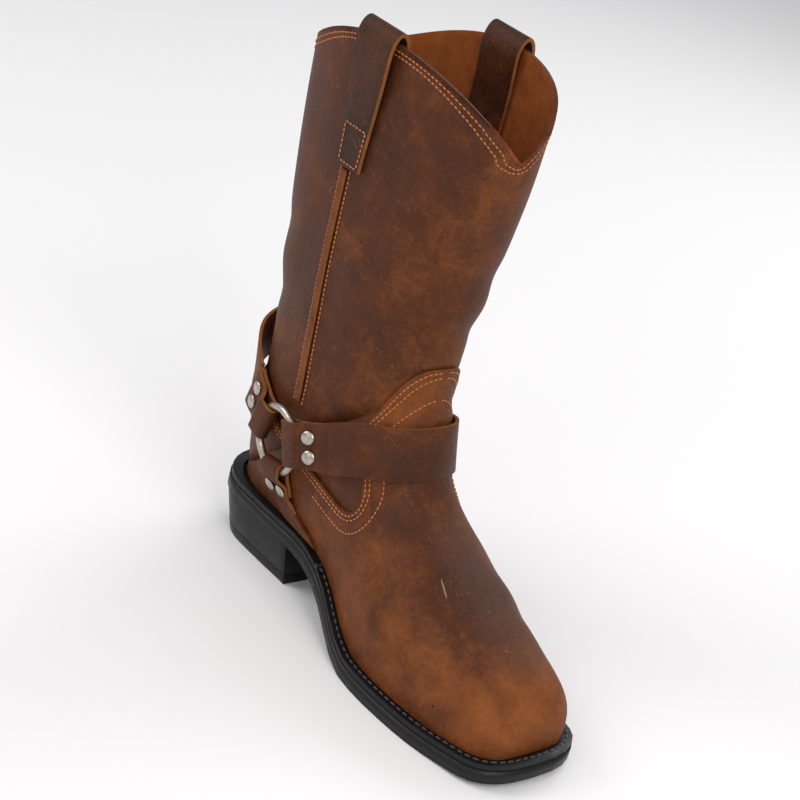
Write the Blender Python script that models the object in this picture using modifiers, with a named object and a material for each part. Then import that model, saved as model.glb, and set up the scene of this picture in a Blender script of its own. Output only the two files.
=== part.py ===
"""Harness boot, the left one of a pair: rubber sole and heel, welt, hollow leather upper and ringed straps.

Lengths are in metres. X runs from the heel to the toe, Y to the wearer's left, which is the lateral side,
and Z up. Shapes are worked out with X = 0 at the back of the heel, and the root empty then moves them so
that the origin is the centre of the heel's rest face.
"""
import math

import bmesh
import bpy
import numpy as np
from mathutils import Matrix, Vector
from mathutils.bvhtree import BVHTree

MM = 0.001

# Driving sizes of the sole
SOLE_LENGTH = 305 * MM
HEEL_ROUND = 38 * MM
HEEL_POWER = 2.1
TOE_START = 280 * MM
TOE_POWER = 2.7
BREAST_X = 92 * MM
HEEL_SEAT = 31 * MM
SEAT_DROP = 1.5 * MM
BALL_START = 190 * MM
FLAT_END = 236 * MM
TOE_SPRING = 5 * MM
OUTSOLE = 8 * MM
WELT = 4 * MM
LEDGE = 7 * MM
INSOLE = 4 * MM
INSOLE_EASE = 4.4 * MM
WELT_EASE = 1.2 * MM
WELT_SETBACK = 0.8 * MM
HEEL_SETBACK = 0.6 * MM
HEEL_CAP = 7 * MM
HEEL_UNDERCUT = 6.5 * MM
HEEL_NARROWING = 0.84
HEEL_REST_X = 50 * MM

# Diamond lugs under the ball: an oval patch crossed by two sets of grooves
LUG_CENTRE = (208 * MM, 3 * MM)
LUG_PATCH = (60 * MM, 32 * MM)
LUG_PITCH = 9 * MM
LUG_TURN = math.radians(40)
GROOVE_WIDTH = 1.8 * MM
GROOVE_DEPTH = 1.2 * MM

# Driving sizes of the leather
WALL = 2.2 * MM
OVERLAY = 1.4 * MM
STRAP = 2.2 * MM
PULL_STRAP = 2.6 * MM
PIPING = 1.6 * MM
PIPING_WIDTH = 4.5 * MM
GAP = 0.3 * MM
SEAT_GAP = 0.9 * MM
PANEL_GAP = 0.5 * MM
OVERLAY_TOP = PANEL_GAP + OVERLAY
STRAP_GAP = 0.6 * MM
STRAP_REST = OVERLAY_TOP + STRAP_GAP + STRAP / 2

# Hardware
RING_RADIUS = 20.5 * MM
RING_WIRE = 2.5 * MM
RIVET_RADIUS = 4.6 * MM
RIVET_DOME = 2.0 * MM
RIVET_PITCH = 12 * MM
RIVET_GAP = 0.45 * MM
WIRE_LAYER = RING_WIRE + GAP + STRAP / 2

# Half-widths of the sole in millimetres, at stations from the back of the heel
OUTLINE_COLUMNS = ("station", "medial", "lateral")
OUTLINE = (
    (0, 38.5, 38.5),
    (45, 38.5, 38.5),
    (83, 37.0, 37.5),
    (107, 35.8, 40.0),
    (125, 36.8, 46.0),
    (151, 43.5, 56.0),
    (177, 51.0, 61.0),
    (200, 53.5, 60.5),
    (225, 52.5, 56.5),
    (255, 48.5, 50.0),
    (285, 41.5, 43.0),
    (305, 38.0, 39.5),
)

# Sections of the upper in millimetres. Each lies in a plane across the boot, from a point low down
# (on the sole's edge, and from the heel's back on up the back of the shaft) to a point on the ridge
# of the vamp or the front of the shaft. "up" is zero where the low point stands on the sole, and there
# "medial" and "lateral" are the bulge over the seat's half-widths instead of whole half-widths.
SECTION_COLUMNS = ("low_x", "up", "top_x", "top_z", "ridge", "medial", "lateral", "widest", "round")
SECTIONS = (
    (294.6, 0, 294.6, 12.6, 0, 0.0, 0.0, 0.30, 2.6),
    (294.3, 0, 294.8, 23, 0, 0.4, 0.4, 0.30, 2.6),
    (293.0, 0, 293.8, 32.5, 0, 0.8, 0.8, 0.30, 2.6),
    (290.0, 0, 290.4, 41, 0, 1.2, 1.2, 0.30, 2.6),
    (284.0, 0, 283.8, 48, 0, 1.6, 1.6, 0.30, 2.6),
    (274, 0, 273, 53.5, 0, 1.8, 1.8, 0.30, 2.5),
    (258, 0, 256, 59, -1, 2.0, 2.0, 0.30, 2.4),
    (236, 0, 234, 67, -2, 2.0, 1.6, 0.30, 2.3),
    (212, 0, 211, 77, -4, 2.0, 1.4, 0.30, 2.2),
    (188, 0, 190, 88, -5, 2.4, 1.2, 0.32, 2.15),
    (163, 0, 173, 97, -5, 4.0, 1.0, 0.36, 2.1),
    (136, 0, 162, 110, -4, 7.0, 2.0, 0.40, 2.1),
    (108, 0, 155, 127, -2.5, 8.5, 6.0, 0.42, 2.1),
    (78, 0, 152, 141, -1, 8.5, 7.5, 0.42, 2.1),
    (48, 0, 150.5, 153, 0, 7.5, 7.5, 0.42, 2.1),
    (25, 0, 149.5, 162, 0, 10.0, 10.0, 0.43, 2.1),
    (12, 0, 149, 169, 0, 19.0, 19.0, 0.44, 2.1),
    (8.9, 0, 148.6, 175, 0, 38.0, 38.0, 0.45, 2.1),
    (4.5, 64, 148.4, 187, 0, 38.5, 39.0, 0.46, 2.1),
    (3.5, 90, 148.2, 200, 0, 40.0, 40.5, 0.47, 2.1),
    (4.5, 120, 148.6, 213, 0, 41.5, 42.5, 0.48, 2.2),
    (3, 152, 149.8, 228, 0, 43.5, 45.0, 0.49, 2.3),
    (-2, 192, 152, 245, 0, 45.3, 47.0, 0.50, 2.4),
    (-9, 236, 154.5, 261, 0, 46.4, 48.2, 0.50, 2.45),
    (-14.5, 280, 157, 280, 0, 46.8, 48.6, 0.50, 2.5),
    (-18.5, 317, 158.5, 316, 0, 46.6, 48.6, 0.50, 2.5),
)
HEEL_SECTION = 17
LENGTH_COLUMNS = 7
MEDIAL_COLUMN = SECTION_COLUMNS.index("medial")
LATERAL_COLUMN = SECTION_COLUMNS.index("lateral")

# Fineness of the grid, the outlines and the strips
STANDING_ROWS = 20
RING_ROWS = 14
HALF_COLUMNS = 11
SMOOTH_ROWS = 4
PLATE_POINTS = 32
HEEL_POINTS = 48
SEAT_POINTS = 200
SECTION_POINTS = 160
SLICE = 12 * MM
KNOT_SLACK = 1e-9
SMOOTH_ANGLE = math.radians(35)

# Height of the rim in millimetres, by the angle from the front of the shaft
RIM_COLUMNS = ("angle", "height")
RIM = (
    (0, 316), (14, 330), (30, 341), (45, 349), (62, 355), (80, 357.5), (96, 355), (120, 344.5), (150, 326.5),
    (180, 317),
)

# Upper edges of the overlays in millimetres, seen from the side: the vamp from its wing behind the ring,
# under the strap and up its tongue, and the counter round the heel
VAMP_EDGE = (
    (78.5, 93), (92, 91), (104, 89), (118, 86), (131, 83.5), (139, 84.5), (143.5, 90), (143.5, 98),
    (139.5, 107), (133, 118), (127.5, 127), (126, 136), (129, 146), (134, 159), (139.5, 172), (145, 181),
    (152, 185),
)
COUNTER_EDGE = ((78, 93), (66, 97), (50, 103), (30, 109), (8, 113), (-12, 115))
OVERLAY_SEAM_X = 78.2 * MM
VAMP_REACH = (330 * MM, 185 * MM)
COUNTER_REACH = (-30 * MM, 115 * MM)
SIDE_REACH = 90 * MM
COUNTER_ROWS_X = 112 * MM
COUNTER_ROWS_Z = 140 * MM

# The harness. A strap leaves its ring at "turn" degrees above forward, is folded round the wire "fold" from
# the ring's centre, and its tip lies "overlap" from the centre under it. Lengths are in millimetres.
RING_PLACE = (70 * MM, 96 * MM)
FRONT_STRAP = {"turn": 22, "fold": 13.6, "overlap": 40, "rivets": 30, "end_width": 28, "width": 32}
BACK_STRAP = {"turn": 163, "fold": 15.6, "overlap": 46, "rivets": 37, "end_width": 24, "width": 32}
LOW_STRAP = {"turn": -80, "fold": 17.7, "overlap": 37, "rivets": 31.5, "end_width": 18, "width": 21}
STEP_DOWN = 5 * MM
SETTLE = 7 * MM

# The middle of each belt: its height, how far it stands off the leather, and the upright axis that it turns about
FRONT_MIDDLE = {"height": 131 * MM, "off": 0.0, "axis_x": 95 * MM, "behind": False}
BACK_MIDDLE = {"height": 132 * MM, "off": 4 * MM, "axis_x": 60 * MM, "behind": True}
BELT_STATIONS = 22
LOW_STRAP_FOOT_X = 98 * MM
LOW_STRAP_FOOT_WIDTH = 32 * MM
LOW_STRAP_LIFT = 3 * MM
LOW_STRAP_SLOPE = 0.12

# Pull straps over the rim, and the side seam's piping below them
PULL_X = 75 * MM
PULL_RIM_Z = 355.5 * MM
PULL_FOOT_Z = 278 * MM
PULL_INSIDE_Z = 300 * MM
PULL_WIDTH = 32 * MM
PULL_FOOT_WIDTH = 20 * MM
PULL_BOW = 3.2 * MM
PULL_CREST = 12 * MM
SEAM_X = 71.5 * MM
PIPING_LOW_Z = 124 * MM


def column(rows, names, name):
    """One named column of a table of rows."""
    return np.array([row[names.index(name)] for row in rows], float)


def natural_spline(knots, values):
    """Returns a function: the natural cubic spline through rows of values at the knots."""
    knots = np.asarray(knots, float)
    values = np.asarray(values, float)
    step = np.diff(knots)[:, None]
    slope = np.diff(values, axis=0) / step
    count = len(knots)
    matrix = np.eye(count)
    target = np.zeros_like(values)
    for i in range(1, count - 1):
        matrix[i, i - 1] = step[i - 1, 0]
        matrix[i, i] = 2 * (step[i - 1, 0] + step[i, 0])
        matrix[i, i + 1] = step[i, 0]
        target[i] = 6 * (slope[i] - slope[i - 1])
    bend = np.linalg.solve(matrix, target)

    def curve(places):
        places = np.clip(np.atleast_1d(np.asarray(places, float)), knots[0], knots[-1])
        i = np.clip(np.searchsorted(knots, places) - 1, 0, count - 2)
        before = (knots[i + 1] - places)[:, None]
        after = (places - knots[i])[:, None]
        bent = (bend[i] * before**3 + bend[i + 1] * after**3) / (6 * step[i])
        low = (values[i] / step[i] - bend[i] * step[i] / 6) * before
        high = (values[i + 1] / step[i] - bend[i + 1] * step[i] / 6) * after
        return bent + low + high

    return curve


OUTLINE_SIDES = [column(OUTLINE, OUTLINE_COLUMNS, side) * MM for side in ("medial", "lateral")]
OUTLINE_CURVE = natural_spline(column(OUTLINE, OUTLINE_COLUMNS, "station") * MM, np.stack(OUTLINE_SIDES, 1))


def half_widths(x):
    """Medial and lateral half-widths of the sole's edge at x."""
    x = np.clip(x, 0, SOLE_LENGTH)
    sides = OUTLINE_CURVE(x)
    heel = np.clip((HEEL_ROUND - x) / HEEL_ROUND, 0, 1)
    toe = np.clip((x - TOE_START) / (SOLE_LENGTH - TOE_START), 0, 1)
    cap = (1 - heel**HEEL_POWER) ** (1 / HEEL_POWER) * (1 - toe**TOE_POWER) ** (1 / TOE_POWER)
    return sides[:, 0] * cap, sides[:, 1] * cap


def sole_loop(inset, count):
    """The sole's outline moved inward: (x, y) from the toe along the medial edge to the heel and back."""
    turn = np.linspace(0, math.pi, count + 1)
    x = SOLE_LENGTH * (1 + np.cos(turn)) / 2
    medial, lateral = half_widths(x)
    there = np.stack([x, -medial], 1)
    back = np.stack([x, lateral], 1)[-2:0:-1]
    loop = np.concatenate([there, back])
    along = np.roll(loop, -1, axis=0) - np.roll(loop, 1, axis=0)
    along /= np.linalg.norm(along, axis=1)[:, None]
    inward = np.stack([along[:, 1], -along[:, 0]], 1)
    return loop + inset * inward


def bottom_z(x):
    """Height of the outsole's underside: sloped seat over the heel, shank, flat ball and toe spring."""
    x = np.asarray(x, float)
    seat = HEEL_SEAT - SEAT_DROP * np.clip(x / BREAST_X, 0, 1)
    shank = np.clip((x - BREAST_X) / (BALL_START - BREAST_X), 0, 1)
    spring = np.clip((x - FLAT_END) / (SOLE_LENGTH - FLAT_END), 0, None)
    return seat * (1 - shank * shank * (3 - 2 * shank)) + TOE_SPRING * spring**1.8


UPPER_INSET = LEDGE + OVERLAY_TOP
SEAT_LOOP = sole_loop(UPPER_INSET, SEAT_POINTS)
SEAT_MEDIAL = SEAT_LOOP[SEAT_POINTS::-1]
SEAT_LATERAL = SEAT_LOOP[SEAT_POINTS:]


def seat_widths(x):
    """Medial and lateral half-widths of the upper where it stands on the sole."""
    medial = -np.interp(x, SEAT_MEDIAL[:, 0], SEAT_MEDIAL[:, 1])
    lateral = np.interp(x, SEAT_LATERAL[:, 0], SEAT_LATERAL[:, 1])
    return np.maximum(medial, 0), np.maximum(lateral, 0)


def seat_z(x):
    return bottom_z(x) + OUTSOLE + SEAT_GAP


def section_knots(table):
    """Places of the sections along the upper: the mean distance that their two ends have moved."""
    aside = np.where(np.arange(len(table)) < HEEL_SECTION, seat_widths(table[:, 0])[1], 0)
    low = np.linalg.norm(np.diff(np.stack([table[:, 0], table[:, 1], aside], 1), axis=0), axis=1)
    top = np.linalg.norm(np.diff(table[:, 2:4], axis=0), axis=1)
    return np.concatenate([[0], np.cumsum((low + top) / 2 + 1 * MM)])


def section_table():
    """The sections in metres, with the seat's own height and half-widths added where they stand on the sole."""
    table = np.array(SECTIONS, float)
    table[:, :LENGTH_COLUMNS] *= MM
    standing = np.arange(len(table)) <= HEEL_SECTION
    table[standing, 1] = seat_z(table[standing, 0])
    medial, lateral = seat_widths(table[:, 0])
    round_heel = np.arange(len(table)) >= HEEL_SECTION
    table[:, MEDIAL_COLUMN] += np.where(round_heel, 0, medial)
    table[:, LATERAL_COLUMN] += np.where(round_heel, 0, lateral)
    return table


SECTION_TABLE = section_table()
SECTION_KNOTS = section_knots(SECTION_TABLE)
SECTION_CURVE = natural_spline(SECTION_KNOTS, SECTION_TABLE)
HEEL_KNOT = SECTION_KNOTS[HEEL_SECTION]
RIM_KNOT = SECTION_KNOTS[-1]
RIM_CURVE = natural_spline(column(RIM, RIM_COLUMNS, "angle"), column(RIM, RIM_COLUMNS, "height")[:, None] * MM)


def half_section(low_width, width, widest, power):
    """Half a section, as (way up, half-width): it swells from its low end and closes over the top."""
    up = (1 - np.cos(np.linspace(0, math.pi, SECTION_POINTS))) / 2
    below = np.clip(up / widest, 0, 1)
    above = np.clip((up - widest) / (1 - widest), 0, 1)
    upright = (low_width / width) ** 0.5 if width > 0 else 0
    rise = (1 - upright) * (1 - (1 - below) ** power) + upright * below**2 * (3 - 2 * below)
    swell = low_width**power + (width**power - low_width**power) * rise
    across = np.where(up < widest, swell ** (1 / power), width * (1 - above**power) ** (1 / power))
    return up, across


def upper_section(knot, half_count):
    """Points of one section, evenly spaced, from its medial low end over the ridge to its lateral one."""
    section = dict(zip(SECTION_COLUMNS, SECTION_CURVE(knot)[0]))
    low = np.array([section["low_x"], 0, section["up"]])
    top = np.array([section["top_x"], section["ridge"], section["top_z"]])
    if knot <= HEEL_KNOT:
        low[2] = seat_z(low[0])
        top[2] = max(top[2], low[2] + KNOT_SLACK)
    low_widths = seat_widths(low[0]) if knot < HEEL_KNOT else (0, 0)
    halves = []
    for side, low_width, name in ((-1, float(low_widths[0]), "medial"), (1, float(low_widths[1]), "lateral")):
        width = max(section[name], low_width)
        up, across = half_section(low_width, width, section["widest"], section["round"])
        points = low + (top - low) * up[:, None]
        points[:, 1] = top[1] * up * up + side * across
        length = np.concatenate([[0], np.cumsum(np.linalg.norm(np.diff(points, axis=0), axis=1))])
        even = np.linspace(0, length[-1], half_count + 1)
        halves.append(np.stack([np.interp(even, length, points[:, axis]) for axis in range(3)], 1))
    return np.concatenate([halves[0], halves[1][-2::-1]])


def rim_lift(points, knot):
    """Raises the upper sections toward the rim's own curve: low V in front, high sides, lower back."""
    top = SECTION_TABLE[-1]
    middle = (top[0] + top[2]) / 2
    half = (top[2] - top[0]) / 2
    x = np.clip((points[:, 0] - middle) / half, -1, 1)
    angle = np.degrees(np.arccos(x))
    plane = top[1] + (top[3] - top[1]) * (1 + x) / 2
    share = np.clip((knot - HEEL_KNOT) / (RIM_KNOT - HEEL_KNOT), 0, 1) ** 1.5
    points[:, 2] += share * (RIM_CURVE(angle)[:, 0] - plane)
    return points


def upper_grid(finer=1):
    """Knots and points of the upper's outer face. One section lands on the heel, where the rings begin."""
    standing = np.linspace(0, HEEL_KNOT, finer * STANDING_ROWS)
    rings = np.linspace(HEEL_KNOT, RIM_KNOT, finer * RING_ROWS)[1:]
    knots = np.concatenate([standing, rings])
    return knots, np.stack([rim_lift(upper_section(k, finer * HALF_COLUMNS), k) for k in knots])


def grid_normals(knots, grid):
    """Outward normals of the upper's outer face at the points of its grid."""
    reach = 0.5 * MM
    ahead = np.stack([rim_lift(upper_section(min(k + reach, RIM_KNOT), HALF_COLUMNS), k) for k in knots])
    behind = np.stack([rim_lift(upper_section(max(k - reach, 0), HALF_COLUMNS), k) for k in knots])
    across = np.gradient(grid, axis=1)
    closed = knots >= HEEL_KNOT - KNOT_SLACK
    across[closed, 0] = grid[closed, 1] - grid[closed, -2]
    across[closed, -1] = across[closed, 0]
    normals = np.cross(across, ahead - behind)
    return normals / np.linalg.norm(normals, axis=2, keepdims=True)


def make_material(name, colour, roughness, metallic=0.0):
    material = bpy.data.materials.new(name)
    material.use_nodes = True
    shader = material.node_tree.nodes["Principled BSDF"]
    shader.inputs["Base Color"].default_value = (*colour, 1)
    shader.inputs["Roughness"].default_value = roughness
    shader.inputs["Metallic"].default_value = metallic
    return material


def new_object(name, mesh, material, collection):
    piece = bpy.data.objects.new(name, mesh)
    collection.objects.link(piece)
    if material:
        mesh.materials.append(material)
    mesh.shade_smooth()
    mesh.set_sharp_from_angle(angle=SMOOTH_ANGLE)
    return piece


def grid_mesh(name, knots, grid):
    """An open surface over rows of points. Rows past the heel are closed rings."""
    vertices = []
    index = np.zeros(grid.shape[:2], int)
    for r, row in enumerate(grid):
        ring = knots[r] >= HEEL_KNOT - KNOT_SLACK
        for c, point in enumerate(row):
            if ring and c == len(row) - 1:
                index[r, c] = index[r, 0]
                continue
            index[r, c] = len(vertices)
            vertices.append(tuple(point))
    faces = []
    for r in range(len(grid) - 1):
        for c in range(grid.shape[1] - 1):
            corners = [index[r, c], index[r, c + 1], index[r + 1, c + 1], index[r + 1, c]]
            for triangle in (corners[:3], [corners[0], *corners[2:]]):
                if len({int(v) for v in triangle}) == 3:
                    faces.append([int(v) for v in triangle])
    mesh = bpy.data.meshes.new(name)
    mesh.from_pydata(vertices, [], faces)
    mesh.validate()
    return mesh


def flat_plate(name, loops, thickness):
    """A mesh of flat outlines filled and extruded, standing on z = 0. Inner loops are holes."""
    curve = bpy.data.curves.new(name, "CURVE")
    curve.dimensions = "2D"
    curve.fill_mode = "BOTH"
    curve.extrude = thickness / 2
    for loop in loops:
        spline = curve.splines.new("POLY")
        spline.points.add(len(loop) - 1)
        for point, (x, y) in zip(spline.points, loop):
            point.co = (x, y, 0, 1)
        spline.use_cyclic_u = True
    guide = bpy.data.objects.new(name, curve)
    bpy.context.scene.collection.objects.link(guide)
    bpy.context.view_layer.update()
    graph = bpy.context.evaluated_depsgraph_get()
    mesh = bpy.data.meshes.new_from_object(guide.evaluated_get(graph))
    bpy.data.objects.remove(guide)
    work = bmesh.new()
    work.from_mesh(mesh)
    bmesh.ops.remove_doubles(work, verts=work.verts, dist=1e-6)
    bmesh.ops.translate(work, verts=work.verts, vec=(0, 0, thickness / 2))
    bmesh.ops.recalc_face_normals(work, faces=work.faces)
    work.to_mesh(mesh)
    work.free()
    return mesh


def bend_to_sole(mesh, lift, slices):
    """Cuts a flat plate crosswise and raises it to the profile of the sole."""
    work = bmesh.new()
    work.from_mesh(mesh)
    bmesh.ops.dissolve_limit(work, angle_limit=math.radians(1), verts=work.verts, edges=work.edges)
    for x in slices:
        parts = work.verts[:] + work.edges[:] + work.faces[:]
        bmesh.ops.bisect_plane(work, geom=parts, plane_co=(x, 0, 0), plane_no=(1, 0, 0), dist=1e-6)
    for vertex in work.verts:
        vertex.co.z += float(bottom_z(vertex.co.x)) + lift
    work.to_mesh(mesh)
    work.free()
    return mesh


def build_upper(knots, grid, normals, material, collection):
    """The hollow upper: its outer face, an inner face one wall inside it, and the edges between them."""
    inside = grid - WALL * normals
    standing = knots <= HEEL_KNOT + KNOT_SLACK
    for column in (0, -1):
        inside[standing, column, 2] = grid[standing, column, 2]
    inside[0, :, 2] = grid[0, :, 2]
    inside[-1, :, 2] = grid[-1, :, 2]
    outer = grid_mesh("upper", knots, grid)
    inner = grid_mesh("upper_inside", knots, inside)
    count = len(outer.vertices)
    triangles = [list(face.vertices) for face in outer.polygons]
    faces = triangles + [[v + count for v in reversed(triangle)] for triangle in triangles]
    directed = {(face[i], face[(i + 1) % 3]) for face in triangles for i in range(3)}
    for start, end in sorted(directed):
        if (end, start) not in directed:
            faces.append([end, start, start + count, end + count])
    mesh = bpy.data.meshes.new("upper")
    mesh.from_pydata([v.co for v in outer.vertices] + [v.co for v in inner.vertices], [], faces)
    bpy.data.meshes.remove(outer)
    bpy.data.meshes.remove(inner)
    return new_object("upper", mesh, material, collection)


SLICES = np.arange(BREAST_X, SOLE_LENGTH, SLICE)


def cut(piece, cutter, operation="DIFFERENCE", solver="EXACT"):
    modifier = piece.modifiers.new(cutter.name, "BOOLEAN")
    modifier.operation = operation
    modifier.solver = solver
    modifier.object = cutter


def bar_mesh(name, bars):
    """Upright boxes as one mesh: each bar is (middle, half-length, direction)."""
    work = bmesh.new()
    for middle, half_length, turn in bars:
        box = bmesh.ops.create_cube(work, size=1)
        size = (2 * half_length, GROOVE_WIDTH, 2 * GROOVE_DEPTH)
        place = Matrix.Translation((*middle, 0)) @ Matrix.Rotation(turn, 4, "Z") @ Matrix.Diagonal((*size, 1))
        bmesh.ops.transform(work, matrix=place, verts=box["verts"])
    mesh = bpy.data.meshes.new(name)
    work.to_mesh(mesh)
    work.free()
    return mesh


def groove_bars(turn):
    """Parallel bars across the oval patch, each as long as the patch is there."""
    long_half, wide_half = LUG_PATCH
    direction = np.array([math.cos(turn), math.sin(turn)])
    aside = np.array([-direction[1], direction[0]])
    reach = math.hypot(long_half * aside[0], wide_half * aside[1])
    bars = []
    for step in range(-int(reach / LUG_PITCH), int(reach / LUG_PITCH) + 1):
        off = step * LUG_PITCH
        share = math.sqrt(max(1 - (off / reach) ** 2, 0))
        half_chord = share * long_half * wide_half / reach
        slide = -off * direction @ (aside * (long_half**2, wide_half**2)) / reach**2
        middle = np.array(LUG_CENTRE) + off * aside - slide * direction
        if half_chord > LUG_PITCH / 2:
            bars.append((middle, half_chord, turn))
    return bars


def evaluated_mesh(piece):
    """The piece's mesh with its modifiers carried out."""
    bpy.context.view_layer.update()
    graph = bpy.context.evaluated_depsgraph_get()
    return bpy.data.meshes.new_from_object(piece.evaluated_get(graph))


def build_outsole(material, collection):
    plate = flat_plate("outsole", [sole_loop(0, PLATE_POINTS)], OUTSOLE)
    outsole = new_object("outsole", plate, material, collection)
    cutters = []
    for turn in (LUG_TURN, -LUG_TURN):
        cutter = bpy.data.objects.new("lug_grooves", bar_mesh("lug_grooves", groove_bars(turn)))
        bpy.context.scene.collection.objects.link(cutter)
        cut(outsole, cutter)
        cutters.append(cutter)
    grooved = evaluated_mesh(outsole)
    outsole.modifiers.clear()
    for cutter in cutters:
        bpy.data.objects.remove(cutter)
    outsole.data = bend_to_sole(grooved, 0, SLICES)
    return outsole


def build_welt(material, collection):
    rim = sole_loop(WELT_SETBACK, PLATE_POINTS)
    hole = sole_loop(UPPER_INSET - WELT_EASE, PLATE_POINTS)
    plate = flat_plate("welt", [rim, hole], WELT)
    bend_to_sole(plate, OUTSOLE + GAP, SLICES)
    return new_object("welt", plate, material, collection)


def build_insole(material, collection):
    plate = flat_plate("insole", [sole_loop(UPPER_INSET + WALL + INSOLE_EASE, PLATE_POINTS)], INSOLE)
    bend_to_sole(plate, OUTSOLE + GAP, SLICES)
    return new_object("insole", plate, material, collection)


def heel_loop(height):
    """Outline of the heel at a height: undercut behind and narrower toward the floor."""
    loop = sole_loop(HEEL_SETBACK, HEEL_POINTS)
    loop = loop[loop[:, 0] < BREAST_X - 1 * MM]
    breast = [(BREAST_X, loop[0, 1]), (BREAST_X, loop[-1, 1])]
    loop = np.concatenate([[breast[0]], loop, [breast[1]]])
    fall = 1 - height / HEEL_SEAT
    loop[:, 0] += fall * HEEL_UNDERCUT * (1 - loop[:, 0] / BREAST_X)
    loop[:, 1] *= 1 - fall * (1 - HEEL_NARROWING)
    return loop


def heel_slab(name, low, high, material, collection):
    """A slab of the heel between two heights. A height of None follows the sloped seat."""
    seat = high is None
    top_loop = heel_loop(HEEL_SEAT if seat else high)
    bottom_loop = heel_loop(low)
    top_z = [float(bottom_z(x)) - GAP if seat else high for x in top_loop[:, 0]]
    count = len(top_loop)
    vertices = [(x, y, low) for x, y in bottom_loop]
    vertices += [(x, y, z) for (x, y), z in zip(top_loop, top_z)]
    faces = [list(range(count)), list(range(2 * count - 1, count - 1, -1))]
    for i in range(count):
        after = (i + 1) % count
        faces.append([i, i + count, after + count, after])
    mesh = bpy.data.meshes.new(name)
    mesh.from_pydata(vertices, [], faces)
    work = bmesh.new()
    work.from_mesh(mesh)
    bmesh.ops.recalc_face_normals(work, faces=work.faces)
    work.to_mesh(mesh)
    work.free()
    return new_object(name, mesh, material, collection)


def side_cutter(name, outline, collection):
    """A prism right across the boot over an outline of (x, z) points."""
    work = bmesh.new()
    near = [work.verts.new((x, -SIDE_REACH, z)) for x, z in outline]
    face = work.faces.new(near)
    moved = bmesh.ops.extrude_face_region(work, geom=[face])
    far = [v for v in moved["geom"] if isinstance(v, bmesh.types.BMVert)]
    bmesh.ops.translate(work, verts=far, vec=(0, 2 * SIDE_REACH, 0))
    bmesh.ops.recalc_face_normals(work, faces=work.faces)
    mesh = bpy.data.meshes.new(name)
    work.to_mesh(mesh)
    work.free()
    cutter = bpy.data.objects.new(name, mesh)
    collection.objects.link(cutter)
    cutter.hide_render = True
    cutter.display_type = "WIRE"
    return cutter


def smooth_edge(points, count):
    """A smooth line through (x, z) points given in millimetres."""
    points = np.array(points, float) * MM
    knots = np.concatenate([[0], np.cumsum(np.linalg.norm(np.diff(points, axis=0), axis=1))])
    return natural_spline(knots, points)(np.linspace(0, knots[-1], count))


def welt_top_line(start, end, count):
    x = np.linspace(start, end, count)
    return np.stack([x, bottom_z(x) + OUTSOLE + WELT + 2 * GAP], 1)


def build_overlay(name, outline, rows, knots, grid, normals, material, cutters, collection):
    """A leather panel over the upper: the layer between two larger forms, cut to an outline."""
    base = grid[rows] + PANEL_GAP * normals[rows]
    panel = new_object(name, grid_mesh(name, knots[rows], base), material, collection)
    shell = panel.modifiers.new("thickness", "SOLIDIFY")
    shell.thickness = OVERLAY
    shell.offset = 1
    cutter = side_cutter(name + "_outline", outline, cutters)
    cut(panel, cutter, "INTERSECT", "MANIFOLD")
    return panel, cutter


def build_overlays(knots, grid, normals, material, cutters, collection):
    front = OVERLAY_SEAM_X + GAP / 2
    behind = OVERLAY_SEAM_X - GAP / 2
    vamp_line = smooth_edge(VAMP_EDGE, 60)
    vamp_line[0, 0] = front
    vamp_outline = np.concatenate([
        vamp_line,
        [VAMP_REACH, (VAMP_REACH[0], float(welt_top_line(SOLE_LENGTH, SOLE_LENGTH, 1)[0, 1]))],
        welt_top_line(SOLE_LENGTH, front, 30),
    ])
    counter_line = smooth_edge(COUNTER_EDGE, 20)
    counter_line[0, 0] = behind
    seat = float(welt_top_line(0, 0, 1)[0, 1])
    counter_reach = [COUNTER_REACH, (COUNTER_REACH[0], seat)]
    counter_outline = np.concatenate([counter_line, counter_reach, welt_top_line(0, behind, 8)])
    rows = np.arange(len(knots))
    low_x = np.array([float(SECTION_CURVE(k)[0, 0]) for k in knots])
    low_z = np.array([float(SECTION_CURVE(k)[0, 1]) for k in knots])
    vamp_rows = rows[rows <= STANDING_ROWS + 2]
    counter_rows = rows[(low_x < COUNTER_ROWS_X) & (low_z < COUNTER_ROWS_Z)]
    vamp = build_overlay("vamp", vamp_outline, vamp_rows, knots, grid, normals, material, cutters, collection)
    counter = build_overlay(
        "heel_counter", counter_outline, counter_rows, knots, grid, normals, material, cutters, collection
    )
    return [vamp[0], counter[0]], [vamp[1], counter[1]]


def face_tree(knots, grid):
    mesh = grid_mesh("ground", knots, grid)
    tree = BVHTree.FromPolygons([v.co for v in mesh.vertices], [list(f.vertices) for f in mesh.polygons])
    bpy.data.meshes.remove(mesh)
    return tree


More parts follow.
